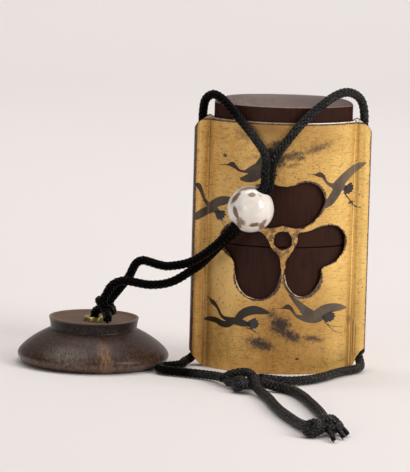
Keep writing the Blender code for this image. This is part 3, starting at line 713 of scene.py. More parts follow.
def bowed(start, end, bulge, steps):
    """Points from start to end on an arc that stands bulge off the chord, to its left."""
    chord = math.dist(start, end)
    radius = chord * chord / (8 * bulge) + bulge / 2
    along = math.atan2(end[1] - start[1], end[0] - start[0])
    back = radius - bulge
    centre = ((start[0] + end[0]) / 2 + back * math.sin(along), (start[1] + end[1]) / 2 - back * math.cos(along))
    half = math.asin(chord / 2 / radius)
    top = along + math.pi / 2
    return arc(centre, radius, top + half, top - half, steps)


def lens(arc_radius, half_width, steps=60, end_steps=12):
    """Lens-shaped plan with rounded ends, counter-clockwise from the front left."""
    end_radius = (arc_radius**2 - half_width**2 - ARC_OFFSET**2) / (2 * (arc_radius - half_width))
    end_x = half_width - end_radius
    turn = math.atan2(end_x, ARC_OFFSET)
    down = -math.pi / 2
    front = arc((0, ARC_OFFSET), arc_radius, down - turn, down + turn, steps)
    right = arc((end_x, 0), end_radius, down + turn, -down - turn, end_steps)
    half = front + right[1:-1]
    return half + [(-x, -y) for x, y in half]


def side_groove():
    """Centre of the groove between face and tube, and the turns at which it touches them."""
    to_face = SHEATH_ARC + GROOVE_RADIUS
    to_tube = TUBE_RADIUS + GROOVE_RADIUS
    span = math.hypot(TUBE_X, ARC_OFFSET)
    along = (to_face**2 - to_tube**2 + span**2) / (2 * span)
    aside = math.sqrt(to_face**2 - along**2)
    unit = (TUBE_X / span, -ARC_OFFSET / span)
    x, y = along * unit[0] + aside * unit[1], ARC_OFFSET + along * unit[1] - aside * unit[0]
    return (x, y), math.atan2(x, ARC_OFFSET - y), math.atan2(-y, TUBE_X - x)


def sheath_outline():
    """Plan of the sheath: front from groove to groove, right tube, and the same turned half round."""
    groove, turn, to_tube = side_groove()
    down = -math.pi / 2
    front = arc((0, ARC_OFFSET), SHEATH_ARC, down - turn, down + turn, 110)
    near = arc(groove, GROOVE_RADIUS, math.pi / 2 + turn, to_tube, 10)
    tube = arc((TUBE_X, 0), TUBE_RADIUS, to_tube - math.pi, math.pi - to_tube, 44)
    far = [(x, -y) for x, y in reversed(near)]
    half = front + near[1:-1] + tube + far[1:-1]
    return half + [(-x, -y) for x, y in half]


def front_depth(x):
    """Y of the sheath's front surface at a place across it."""
    groove, turn, to_tube = side_groove()
    aside = abs(x)
    if aside <= SHEATH_ARC * math.sin(turn):
        return ARC_OFFSET - math.sqrt(SHEATH_ARC**2 - x * x)
    if aside <= groove[0] + GROOVE_RADIUS * math.cos(to_tube):
        return groove[1] + math.sqrt(max(GROOVE_RADIUS**2 - (aside - groove[0]) ** 2, 0.0))
    return -math.sqrt(max(TUBE_RADIUS**2 - (aside - TUBE_X) ** 2, 0.0))


def extrude(bm, outline, place, low, high):
    """Add the closed prism of an outline; place(point, level) gives a corner in space."""
    base, lid = ([bm.verts.new(place(p, level)) for p in outline] for level in (low, high))
    bm.faces.new(base)
    bm.faces.new(lid)
    bridge(bm, [base, lid])


def upward(point, level):
    return (point[0], point[1], level)


def backward(point, level):
    return (point[0], level, point[1])


def loft(bm, loops):
    """Bridge a stack of equal loops of 3-D points, and cap both ends."""
    rings = [[bm.verts.new(p) for p in loop] for loop in loops]
    bridge(bm, rings)
    bm.faces.new(rings[0])
    bm.faces.new(rings[-1])


def cut(obj, name, bm, materials=(), crossing=False, operation="DIFFERENCE"):
    """Cut an object with a closed mesh, whose faces bring their own material."""
    boolean = obj.modifiers.new(name, "BOOLEAN")
    boolean.operation = operation
    boolean.solver = "EXACT"
    boolean.material_mode = "TRANSFER"
    boolean.use_self = crossing
    boolean.object = add_object(name, bm, materials)


def soften_edges(obj, width):
    bevel = obj.modifiers.new("soft_edges", "BEVEL")
    bevel.width = width
    bevel.segments = 2
    bevel.limit_method = "ANGLE"
    bevel.angle_limit = math.radians(32)
    bevel.use_clamp_overlap = True
    bevel.harden_normals = False


# ---------------------------------------------------------------- lacquer finishes

# Rubbed places on the front, and near the cords at the top some painted shadows of the cords: centre x and z, half
# width, half height, tilt in degrees, strength.
SMUDGES_AND_SHADOWS_MM = [
    (0.6, 16.0, 3.8, 3.6, -30, 1.0), (3.6, 13.0, 5.2, 2.2, -28, 0.9), (-5.6, 9.8, 5.2, 2.2, -12, 0.9),
    (11.2, 11.8, 3.8, 1.4, -10, 0.75), (-2.2, 19.6, 2.2, 2.4, 0, 0.6), (2.8, 71.8, 5.8, 1.8, 12, 0.68),
    (10.8, 74.2, 7.2, 1.5, 20, 0.6), (-1.8, 75.0, 3.6, 2.8, 0, 0.75), (-1.5, 70.5, 3.2, 3.4, 0, 0.9),
    (-12.5, 77.5, 4.0, 2.0, -30, 0.4), (3.0, 68.6, 3.2, 1.0, 10, 0.5), (21.5, 5.5, 2.0, 3.2, 20, 0.3),
    (-9.0, 71.0, 2.6, 1.2, 0, 0.4), (6.3, 5.1, 0.55, 0.5, 0, 1.3), (22.8, 55.8, 1.1, 0.5, 5, 1.1),
    (-12.0, 19.3, 1.1, 0.3, 5, 1.2), (-18.8, 70.6, 0.7, 0.7, 0, 0.9), (7.5, 61.6, 1.5, 0.4, 15, 1.0),
    (5.6, 71.2, 2.2, 1.2, 10, 0.7), (8.6, 63.2, 1.0, 0.3, 8, 0.8), (23.3, 17.0, 0.8, 1.6, 0, 1.0),
]

# Fine upright cracks: x, lower end, upper end, width, all in millimetres.
CRACKS_MM = [
    (-23.75, 55.0, 83.0, 0.16), (-23.95, 48.0, 56.0, 0.07), (23.35, 44.0, 69.0, 0.12), (24.7, 4.5, 17.5, 0.2),
    (25.6, 4.0, 16.0, 0.12), (-16.2, 1.0, 12.0, 0.07), (22.0, 12.0, 15.5, 0.1),
]

RIM_MM = RIM_HEIGHT / MM
LOWER_LOBES_UNDER_MM = 40


def smudge_and_shadow_mask(flat, wander):
    """Soft ragged patches, each an oval with a noisy edge."""
    return strongest([
        (flat.reach_from((x, 0.0, z), (half_width, 1.0, half_height), tilt) + wander).fade(1.6, -0.1, 0.0, strength)
        for x, z, half_width, half_height, tilt, strength in SMUDGES_AND_SHADOWS_MM
    ])


def crack_mask(across, up):
    return strongest([
        abs(across - x).fade(width, width * 0.3) * (up.fade(low, low + 1.5) * up.fade(high, high - 1.5))
        for x, low, high, width in CRACKS_MM
    ])


def make_gold_finish():
    """Worn gold lacquer: mottled gold, rubbed patches and painted cord shadows, specks, cracks, dark chipped edges,
    and broad painted light and shade.
    """
    finish = Finish("worn_gold_lacquer")
    x, z, noise, flat = finish.x, finish.z, finish.noise, finish.flat()
    front = finish.y.fade(-0.2, -1.2)
    mottle = noise(0.45, 5.0, 0.62)
    ragged = noise(1.7, 5.0, 0.65)
    grit = noise(2.3, 4.0, 0.68)
    blotch = noise(0.9, 4.0, 0.7).fade(0.56, 0.68, 0.0, 0.5) * z.fade(46.0, 10.0, 0.25, 1.0)
    scuffs = flat.stretched((0.55, 1.0, 2.4), 38.0).noise(1.0, 4.0, 0.7, 0.8)

    # Broad places that the light leaves duller or brighter.
    lower = z.fade(36.0, 16.0) * x.fade(-18.0, -8.0, 0.05, 0.80) * x.fade(14.0, 22.0, 1.0, 0.45)
    upper = z.fade(69.0, 76.0) * x.fade(-2.0, 12.0, 0.1, 0.75) * x.fade(17.0, 22.0, 1.0, 0.2)
    flank = x.fade(-24.4, -26.2) * z.fade(48.0, 30.0, 0.0, 0.9)
    middle = x.fade(-12.0, -1.0) * x.fade(19.0, 13.0, 0.0, 0.6)
    beam = flat.reach_from((-17.5, 0.0, 31.0), (6.5, 1.0, 17.0)).fade(1.1, 0.4, 0.0, 0.65)
    dusk = flat.reach_from((-6.0, 0.0, 80.4), (9.0, 1.0, 3.6)).fade(1.3, 0.2, 0.0, 0.9)

    # Marks of use, with painted shadows of the cords among the rubbed patches.
    wander = noise(0.9, 5.0, 0.68) * 2.2 - 1.1
    smudges_and_shadows = smudge_and_shadow_mask(flat, wander) * front * (grit * 1.2 + 0.4)
    smudge_and_shadow_cores = smudges_and_shadows.fade(0.33, 0.84, 0.0, 0.92)
    speck_size = noise(0.11, 2.0).fade(0.38, 0.60) * 0.14
    dots = (finish.where.cells(0.62) - speck_size).fade(0.03, -0.02)
    crazing = finish.where.cells(0.17, feature="DISTANCE_TO_EDGE") + ragged * 0.05
    crazing = crazing.fade(0.040, 0.030) * noise(0.09).fade(0.5, 0.62)
    cracks = crack_mask(x + (mottle * 0.5 - 0.25), z) * front

    # Wear round the openings and along the edges, painted shade in the side grooves and a painted highlight under the
    # rim.
    around = reduce(lambda a, b: a.math("MINIMUM", b), [
        flat.distance((lobe_x, 0.0, lobe_z)) - radius for lobe_x, lobe_z, radius in LOBES_MM])
    ring = flat.distance((RING_CENTRE[0] / MM, 0.0, RING_CENTRE[1] / MM))
    rubbed = ring.fade(8.5, 5.0) * mottle.fade(0.42, 0.54)
    tan = ring.fade(7.6, 4.8) * ragged.fade(0.42, 0.32)
    # Painted shade in the left side groove, darker towards the bottom.
    groove = abs(x + 23.7).fade(2.9, 0.3) * z.fade(55.0, 15.0, 0.04, 0.56) * z.fade(-2.0, 5.0, 0.45, 1.0)
    # Painted shade in the right side groove, stronger towards the bottom.
    right_groove_shade = abs(x - 23.5).fade(1.6, 0.5) * z.fade(32.0, 12.0, 0.22, 0.75)
    closeness = strongest([
        around.fade(1.9, 0.1, 0.0, 1.05) * around.fade(-1.1, -0.3), ring.fade(8.5, 4.0, 0.0, 0.62),
        z.fade(RIM_MM - 1.3, RIM_MM - 0.5, 0.0, 1.2), x.fade(-27.3, -28.7, 0.0, 1.5), x.fade(27.8, 29.0, 0.0, 1.1),
        z.fade(0.9, 0.0, 0.0, 0.8),
    ])
    bared = (closeness + (ragged * 1.3 - 0.65 + (grit * 0.9 - 0.45))).fade(0.70, 0.86)
    ground = noise(1.3, 3.0).fade(0.4, 0.6).mix((0.030, 0.014, 0.008), (0.16, 0.075, 0.035))
    bright = x.fade(2.0, 12.0)
    # Painted highlight: a light line along the front just under the rim, whiter towards the right.
    lit_rim = z.fade(RIM_MM - 0.35, RIM_MM - 0.25) * front * mottle.fade(0.36, 0.46) * (bright * 0.4 + 0.6)

    gold = noise(0.07, 3.0, 0.55).fade(0.35, 0.65).mix((0.78, 0.45, 0.115), (0.90, 0.56, 0.17))
    gold = layered(gold, [
        (mottle.fade(0.42, 0.72), (0.95, 0.63, 0.22)),
        (mottle.fade(0.46, 0.28, 0.0, 0.6), (0.48, 0.25, 0.06)),
        (blotch, (0.36, 0.17, 0.035)),
        (noise(5.0, 3.0, 0.6).fade(0.3, 0.7, 0.0, 0.22), (0.34, 0.18, 0.04)),
        (grit.fade(0.54, 0.65, 0.0, 0.65), (0.32, 0.15, 0.03)),
        (grit.fade(0.42, 0.30, 0.0, 0.5), (1.0, 0.76, 0.34)),
        # Painted shade: the gold is darker and oranger towards the left; painted light: brighter and yellower towards
        # the right.
        (x.fade(-12.0, -27.0, 0.0, 0.28), (0.66, 0.34, 0.075)),
        (x.fade(-2.0, 20.0, 0.0, 0.5), (0.92, 0.63, 0.19)),
        (scuffs.fade(0.53, 0.64, 0.0, 0.55), (0.30, 0.13, 0.025)),
        (strongest([lower, upper, flank]) * front, (0.70, 0.62, 0.52), "MULTIPLY"),
        (middle * front, (0.68, 0.62, 0.54), "MULTIPLY"),
        (beam * front, (1.0, 0.66, 0.24)),
        (dusk * front, (0.30, 0.15, 0.035)),
        (smudges_and_shadows.fade(0.04, 0.55, 0.0, 0.75), (0.17, 0.095, 0.035)),
        (smudge_and_shadow_cores, (0.016, 0.010, 0.008)),
        (dots * 0.85, (0.10, 0.045, 0.018)),
        (crazing * 0.45, (0.20, 0.10, 0.03)),
        (cracks * 0.85, (0.07, 0.035, 0.012)),
        (rubbed * 0.85, (0.15, 0.075, 0.033)),
        (tan * 0.7, (0.85, 0.66, 0.40)),
        (groove * front, (0.12, 0.048, 0.008)),
        (right_groove_shade * front, (0.42, 0.22, 0.05)),
        (bared, ground),
        (lit_rim, bright.mix((0.62, 0.45, 0.27), (1.0, 0.95, 0.86))),
    ])
    return finish.done({
        "Base Color": gold, "Metallic": strongest([bared, smudge_and_shadow_cores, dots, cracks]) * -0.36 + 0.38,
        "Roughness": mottle * 0.22 + 0.30,
    }, bared * -1.2 + mottle * 0.8 - strongest([cracks, dots]), 0.5, 0.00012)


def make_edge_finish(name="bared_edge", dark=(0.022, 0.011, 0.007), pale=(0.30, 0.17, 0.09), share=(0.52, 0.66)):
    """Broken lacquer edge: dark ground with tan and gold traces, lit on the lower openings' left."""
    finish = Finish(name)
    flat = finish.flat()
    ragged = finish.noise(1.1, 4.0, 0.6)
    colour = ragged.fade(*share).mix(dark, pale)
    for x, z, radius in (lobe for lobe in LOBES_MM if lobe[1] < LOWER_LOBES_UNDER_MM):
        off = flat.vector("SUBTRACT", (x, 0.0, z))
        lower_left = off.dot((-0.77, 0.0, -0.64)).fade(radius - 2.4, radius - 1.0)
        lit = lower_left * off.length().fade(radius + 1.6, radius + 1.0) * ragged.fade(0.30, 0.42)
        colour = lit.mix(colour, (0.86, 0.72, 0.50))
    return finish.done({"Base Color": colour, "Roughness": 0.36}, ragged, 0.4, 0.0001)


def make_brown_finish(name, specular, dark, pale, warm, dust_sheen_and_marks=False):
    """Dark brown lacquer over faint upright wood grain; on the lid top it is marked, and lighter on the left from dust
    and painted sheen.
    """
    finish = Finish(name)
    grain = finish.where.stretched((2.6, 2.6, 0.09)).noise(1.0, 4.0, 0.6)
    cloud = finish.noise(0.12, 2.0)
    edge = abs(finish.z - LID_EDGE_HEIGHT / MM).fade(0.20, 0.08) * grain.fade(0.36, 0.5, 0.25, 0.8)
    layers = [(cloud.fade(0.4, 0.7, 0.0, 0.5), warm), (edge, (0.30, 0.22, 0.18))]
    if dust_sheen_and_marks:
        # Lighter towards the left: partly dust, partly painted sheen.
        dust_and_sheen = finish.x.fade(8.0, -14.0) * finish.noise(0.35, 4.0).fade(0.3, 0.6, 0.3, 1.0)
        marks = finish.noise(0.8, 4.0, 0.6).fade(0.56, 0.68, 0.0, 0.5)
        layers += [(dust_and_sheen * 0.75, (0.215, 0.160, 0.140)), (marks, (0.062, 0.036, 0.028))]
    return finish.done({
        "Base Color": layered(grain.fade(0.3, 0.7).mix(dark, pale), layers),
        "Roughness": cloud * 0.10 + 0.30, "Specular IOR Level": specular,
    }, grain, 0.08, 0.00005)


gold_finish = make_gold_finish()
edge_finish = make_edge_finish()
rim_finish = make_edge_finish("bared_rim", (0.10, 0.055, 0.03), (0.45, 0.33, 0.22), (0.35, 0.55))
brown_finish = make_brown_finish(
    "brown_lacquer", 0.08, (0.026, 0.0086, 0.0056), (0.038, 0.0150, 0.0100), (0.044, 0.0170, 0.0112))
# The lid top's light grey-brown colours are mostly painted reflection of the bright room on dark lacquer.
lid_top_finish = make_brown_finish(
    "lid_top_lacquer", 0.40, (0.115, 0.073, 0.062), (0.135, 0.090, 0.078), (0.15, 0.102, 0.090), dust_sheen_and_marks=True)


# ---------------------------------------------------------------- sheath

SHEATH_EDGE = 0.07 * MM
OUTLINE_GAP = 0.25 * MM
# Depth, as a Y, where the openwork's cut ends: it has gone through the front wall by then.
OPENWORK_END = -3.2 * MM

# Nicks in an opening's edge: their depth and half length, through the wall and in the skin alone,
# and their numbers, through the wall and in the skin, for a large opening and for the ring.
WALL_NICK = (0.12 * MM, 0.8 * MM)
SKIN_NICK = (0.42 * MM, 1.3 * MM)
OPENING_NICKS = (16, 26)
RING_NICKS = (5, 6)
# The skin is off from inside an opening's edge to a hair outside it.
SKIN_INSIDE = 0.3 * MM
SKIN_OUTSIDE = 0.09 * MM


def skyline():
    """Outline, in XZ, of what is cut away above the rim and the tubes' slanting ends."""
    low = (TUBE_X + TUBE_RADIUS + 0.1 * MM, SHOULDER_HEIGHT - CORNER_CUT)
    side = bowed((SHOULDER_X, SHOULDER_HEIGHT), low, CORNER_BULGE, 10)
    beyond = [(TO_THE_RIGHT, low[1] - 2 * MM), (TO_THE_RIGHT, 90 * MM)]
    right = [(TIER_HALF_WIDTH, RIM_HEIGHT)] + side + beyond
    return right + [(-x, z) for x, z in reversed(right)]


def footline(start_x, height, side):
    """Outline, in XZ, of what is cut away below one tube's slanting end; side is 1 or -1."""
    slope = bowed((TUBE_X + TUBE_RADIUS + 0.1 * MM, height), (start_x, 0), FOOT_BULGE, 8)
    below = [(start_x - 0.8 * MM, -2 * MM), (TO_THE_RIGHT, -2 * MM), (TO_THE_RIGHT, height + 2 * MM)]
    return [(side * x, z) for x, z in slope + below]


def opening_line(points_mm, gap):
    return evenly(rounded(points_mm, 8, closed=True) * MM, gap, closed=True)


def outward_normals(points):
    ahead = np.roll(points, -1, axis=0) - np.roll(points, 1, axis=0)
    normal = np.stack([ahead[:, 1], -ahead[:, 0]], axis=1)
    normal /= np.linalg.norm(normal, axis=1)[:, None]
    area = np.sum(points[:, 0] * np.roll(points[:, 1], -1) - points[:, 1] * np.roll(points[:, 0], -1))
    return normal if area > 0 else -normal


def nicked(points, dice, nicks, depth, half_length, base=0.0):
    """Outline moved outward by a base amount and by random shallow nicks."""
    count = len(points)
    gap = np.linalg.norm(points[1] - points[0])
    push = np.full(count, base)
    for _ in range(nicks):
        at = dice.randrange(count)
        deep = dice.uniform(0.3, 1.0) * depth
        half = max(2, round(dice.uniform(0.35, 1.0) * half_length / gap))
        for step in range(-half, half + 1):
            shape = math.sqrt(max(1.0 - (step / half) ** 2, 0.0)) * dice.uniform(0.8, 1.0)
            push[(at + step) % count] = max(push[(at + step) % count], base + deep * shape)
    return points + outward_normals(points) * push[:, None]


def unfolded(base, *rings):
    """The rings without the places where pushing them off the base made them cross over."""
    keep = np.ones(len(base), dtype=bool)
    for ring in rings:
        push = np.linalg.norm(ring - base, axis=1)
        nearest = np.min(np.linalg.norm(ring[:, None, :] - base[None, :, :], axis=2), axis=1)
        keep &= nearest >= 0.85 * push
    return [ring[keep] for ring in rings]


def skin_band(bm, inner, outer):
    """Closed ring that takes a thin skin off the sheath's front between two outlines."""
    bridge(bm, [
        [bm.verts.new((x, front_depth(x) + SKIN_DEPTH if behind else -WELL_OUT, z)) for x, z in points]
        for points, behind in ((outer, False), (outer, True), (inner, True), (inner, False))
    ], closed=True)


# A corner is on a round when it lies this near to it and its face looks this straight out of it.
ROUND_SLACK = 0.004 * MM
ROUND_FACING = 0.985


def round_normals(mesh):
    """Corner normals that follow the true round of the faces and tubes instead of their strips."""
    def read(items, name, width, kind=np.float64):
        values = np.empty(len(items) * width, dtype=kind)
        items.foreach_get(name, values)
        return values.reshape(-1, width) if width > 1 else values

    at = read(mesh.vertices, "co", 3)[read(mesh.loops, "vertex_index", 1, np.int32)]
    normals = np.array([tuple(corner.vector) for corner in mesh.corner_normals])
    facing = np.repeat(read(mesh.polygons, "normal", 3), read(mesh.polygons, "loop_total", 1, np.int32), axis=0)
    rounds = [((0, side * ARC_OFFSET), SHEATH_ARC) for side in (1, -1)]
    rounds += [((side * TUBE_X, 0), TUBE_RADIUS) for side in (1, -1)]
    for centre, radius in rounds:
        out = at[:, :2] - np.array(centre)
        reach = np.linalg.norm(out, axis=1)
        out = np.column_stack([out / reach[:, None], np.zeros(len(at))])
        on_it = (np.abs(reach - radius) < ROUND_SLACK) & (np.sum(out * facing, axis=1) > ROUND_FACING)
        normals[on_it] = out[on_it]
    mesh.normals_split_custom_set([tuple(normal) for normal in normals])


def cord_bore(bm, x):
    """Round bore for the cord up one side tube, flared towards both mouths."""
    wide = CORD_ROOM + MOUTH_FLARE
    levels = [(-MM, wide), (MOUTH_DEPTH, CORD_ROOM), (SHOULDER_HEIGHT - MOUTH_DEPTH, CORD_ROOM),
              (SHOULDER_HEIGHT + MM, wide)]
    loft(bm, [level(arc((x, 0), radius, 0, math.tau * 31 / 32, 31), z) for z, radius in levels])


def make_sheath():
    body = bmesh.new()
    extrude(body, sheath_outline(), upward, 0, SHOULDER_HEIGHT + MM)
    sheath = add_object("gold_sheath", body, [gold_finish, edge_finish])

    cavity = bmesh.new()
    extrude(cavity, lens(SHEATH_ARC - SHEATH_WALL, TIER_HALF_WIDTH + GAP), upward, SHEATH_FLOOR, WELL_ABOVE)
    cut(sheath, "cavity_cutter", cavity, [brown_finish])
    bores = bmesh.new()
    cord_bore(bores, TUBE_X)
    cord_bore(bores, -TUBE_X)
    cut(sheath, "bore_cutter", bores, [brown_finish])
    ends = bmesh.new()
    extrude(ends, skyline(), backward, -WELL_OUT, WELL_OUT)
    cut(sheath, "top_cutter", ends, [rim_finish])
    feet = bmesh.new()
    extrude(feet, footline(*FOOT_RIGHT, 1), backward, -WELL_OUT, WELL_OUT)
    extrude(feet, footline(*FOOT_LEFT, -1), backward, -WELL_OUT, WELL_OUT)
    cut(sheath, "foot_cutter", feet, [edge_finish])
    chip = bmesh.new()
    extrude(chip, [(x * MM, z * MM) for x, z in CHIP_OUTLINE_MM], backward, -WELL_OUT, -CHIP_DEPTH)
    cut(sheath, "chip_cutter", chip, [edge_finish])

    dice = random.Random(7)
    openwork = bmesh.new()
    skins = bmesh.new()
    hole = np.array(arc(RING_CENTRE, RING_HOLE, 0, math.tau * 59 / 60, 59))
    lines = [(opening_line(points_mm, OUTLINE_GAP), *OPENING_NICKS) for points_mm in OPENINGS_MM]
    lines.append((evenly(hole, OUTLINE_GAP, closed=True), *RING_NICKS))
    for points, wall_nicks, skin_nicks in lines:
        (through,) = unfolded(points, nicked(points, dice, wall_nicks, *WALL_NICK))
        extrude(openwork, through, backward, -WELL_OUT, OPENWORK_END)
        inner = points - outward_normals(points) * SKIN_INSIDE
        outer = nicked(points, dice, skin_nicks, *SKIN_NICK, base=SKIN_OUTSIDE)
        skin_band(skins, *unfolded(points, inner, outer))
    cut(sheath, "openwork_cutter", openwork, [edge_finish])
    cut(sheath, "skin_cutter", skins, [edge_finish], crossing=True)
    soften_edges(sheath, SHEATH_EDGE)
    piece = settle_mesh(sheath, "gold_sheath_shell")
    round_normals(piece.data)
    hand_over(piece, "sheath")


# ---------------------------------------------------------------- inner case


def level(outline, z, scale=1.0):
    return [(x * scale, y * scale, z) for x, y in outline]


# How far a tier's recess, its riser and its inside stay in from its own ends.
RECESS_IN = 1.4 * MM
RISER_IN = 1.7 * MM
INSIDE_IN = 3.0 * MM

TIER_EDGE = 0.16 * MM
LID_EDGE = 0.07 * MM


def tier_plans():
    """Plans of a tier: outside, recess under it, outside of its riser, inside."""
    riser_arc = TIER_ARC - TIER_WALL - GAP
    return (
        lens(TIER_ARC, TIER_HALF_WIDTH),
        lens(TIER_ARC - TIER_WALL, TIER_HALF_WIDTH - RECESS_IN),
        lens(riser_arc, TIER_HALF_WIDTH - RISER_IN),
        lens(riser_arc - RISER_WALL, TIER_HALF_WIDTH - INSIDE_IN),
    )


def finish_tier(obj, name, node, edge=TIER_EDGE):
    soften_edges(obj, edge)
    hand_over(settle_mesh(obj, name), node)


def make_tray(name, node, bottom, top, recessed=True):
    """Open tier from bottom to top, with a riser that goes into the piece above."""
    outside, recess, riser, inside = tier_plans()
    ceiling = bottom + RISER_HEIGHT + GAP if recessed else bottom
    under = [level(recess, ceiling), level(recess, bottom)] if recessed else []
    tray = bmesh.new()
    loft(tray, under + [
        level(outside, bottom), level(outside, top), level(riser, top), level(riser, top + RISER_HEIGHT),
        level(inside, top + RISER_HEIGHT), level(inside, ceiling + TIER_FLOOR),
    ])
    finish_tier(add_object(name + "_form", tray, [brown_finish]), name, node)


def make_lid(bottom):
    """Domed top tier, open below."""
    outside, recess, _, _ = tier_plans()
    loops = [
        level(recess, LID_EDGE_HEIGHT - LID_ROOF), level(recess, bottom),
        level(outside, bottom), level(outside, LID_EDGE_HEIGHT),
    ]
    for scale in DOME_SCALES:
        share = math.sqrt(1 - scale**4)
        ridge = [(x * scale, y * math.sqrt(1 - share)) for x, y in outside]
        loops.append(level(ridge, LID_EDGE_HEIGHT + DOME_RISE * share))
    lid = bmesh.new()
    loft(lid, loops)
    for face in lid.faces:
        face.material_index = int(face.calc_center_median().z > LID_EDGE_HEIGHT)
    form = add_object("lid_form", lid, [brown_finish, lid_top_finish], smooth_angle=14)
    finish_tier(form, "case_lid", "lid", edge=LID_EDGE)


make_sheath()
make_tray("case_tray_bottom", "tray_bottom", SHEATH_FLOOR + GAP, SEAMS[0], recessed=False)
make_tray("case_tray_middle", "tray_middle", SEAMS[0] + GAP, SEAMS[1])
make_tray("case_tray_top", "tray_top", SEAMS[1] + GAP, SEAMS[2])
make_lid(SEAMS[2] + GAP)


# ---------------------------------------------------------------- flying birds on the front

PROUD = 0.03 * MM
SUNK = 0.05 * MM
SKIN_HALF_WIDTH_MM = 28.9
SKIN_GAP_MM = 0.34
SKIN_HEIGHTS = (3 * MM, 80 * MM)
BRUSH_END = 5 * MM
BIRD_OUTLINE_GAP = 0.4 * MM
BIRD_CLEARANCE = 0.45 * MM
STROKE_STEPS = 6
FEATHER_HALF_WIDTH = 0.5


def brush_stroke(points):
    """Outline of a stroke through (x, z, half width) rows, with rounded ends."""
    rows = rounded(points, STROKE_STEPS)
    middle, half = rows[:, :2], np.maximum(rows[:, 2], 0.02)
    ahead = np.gradient(middle, axis=0)
    ahead /= np.linalg.norm(ahead, axis=1)[:, None]
    aside = np.stack([-ahead[:, 1], ahead[:, 0]], axis=1)

    def round_end(at, forward, radius, side):
        turns = [math.radians(a) for a in (60, 30, 0, -30, -60)]
        return [at + radius * (math.cos(a) * forward + math.sin(a) * side) for a in turns]

    left, right = (middle + side * aside * half[:, None] for side in (1, -1))
    tip = round_end(middle[-1], ahead[-1], half[-1], aside[-1])
    tail = round_end(middle[0], -ahead[0], half[0], -aside[0])
    return list(left) + tip + list(right[::-1]) + tail


def feather_fan(root, tips):
    """Outlines of short rounded feathers that spread from one root."""
    root = np.array(root)
    sizes = [(0.0, 0.8), (0.5, 1.0), (0.88, 0.8), (1.0, 0.2)]
    return [
        brush_stroke([(*(root + (np.array(tip) - root) * at), FEATHER_HALF_WIDTH * size) for at, size in sizes])
        for tip in tips
    ]


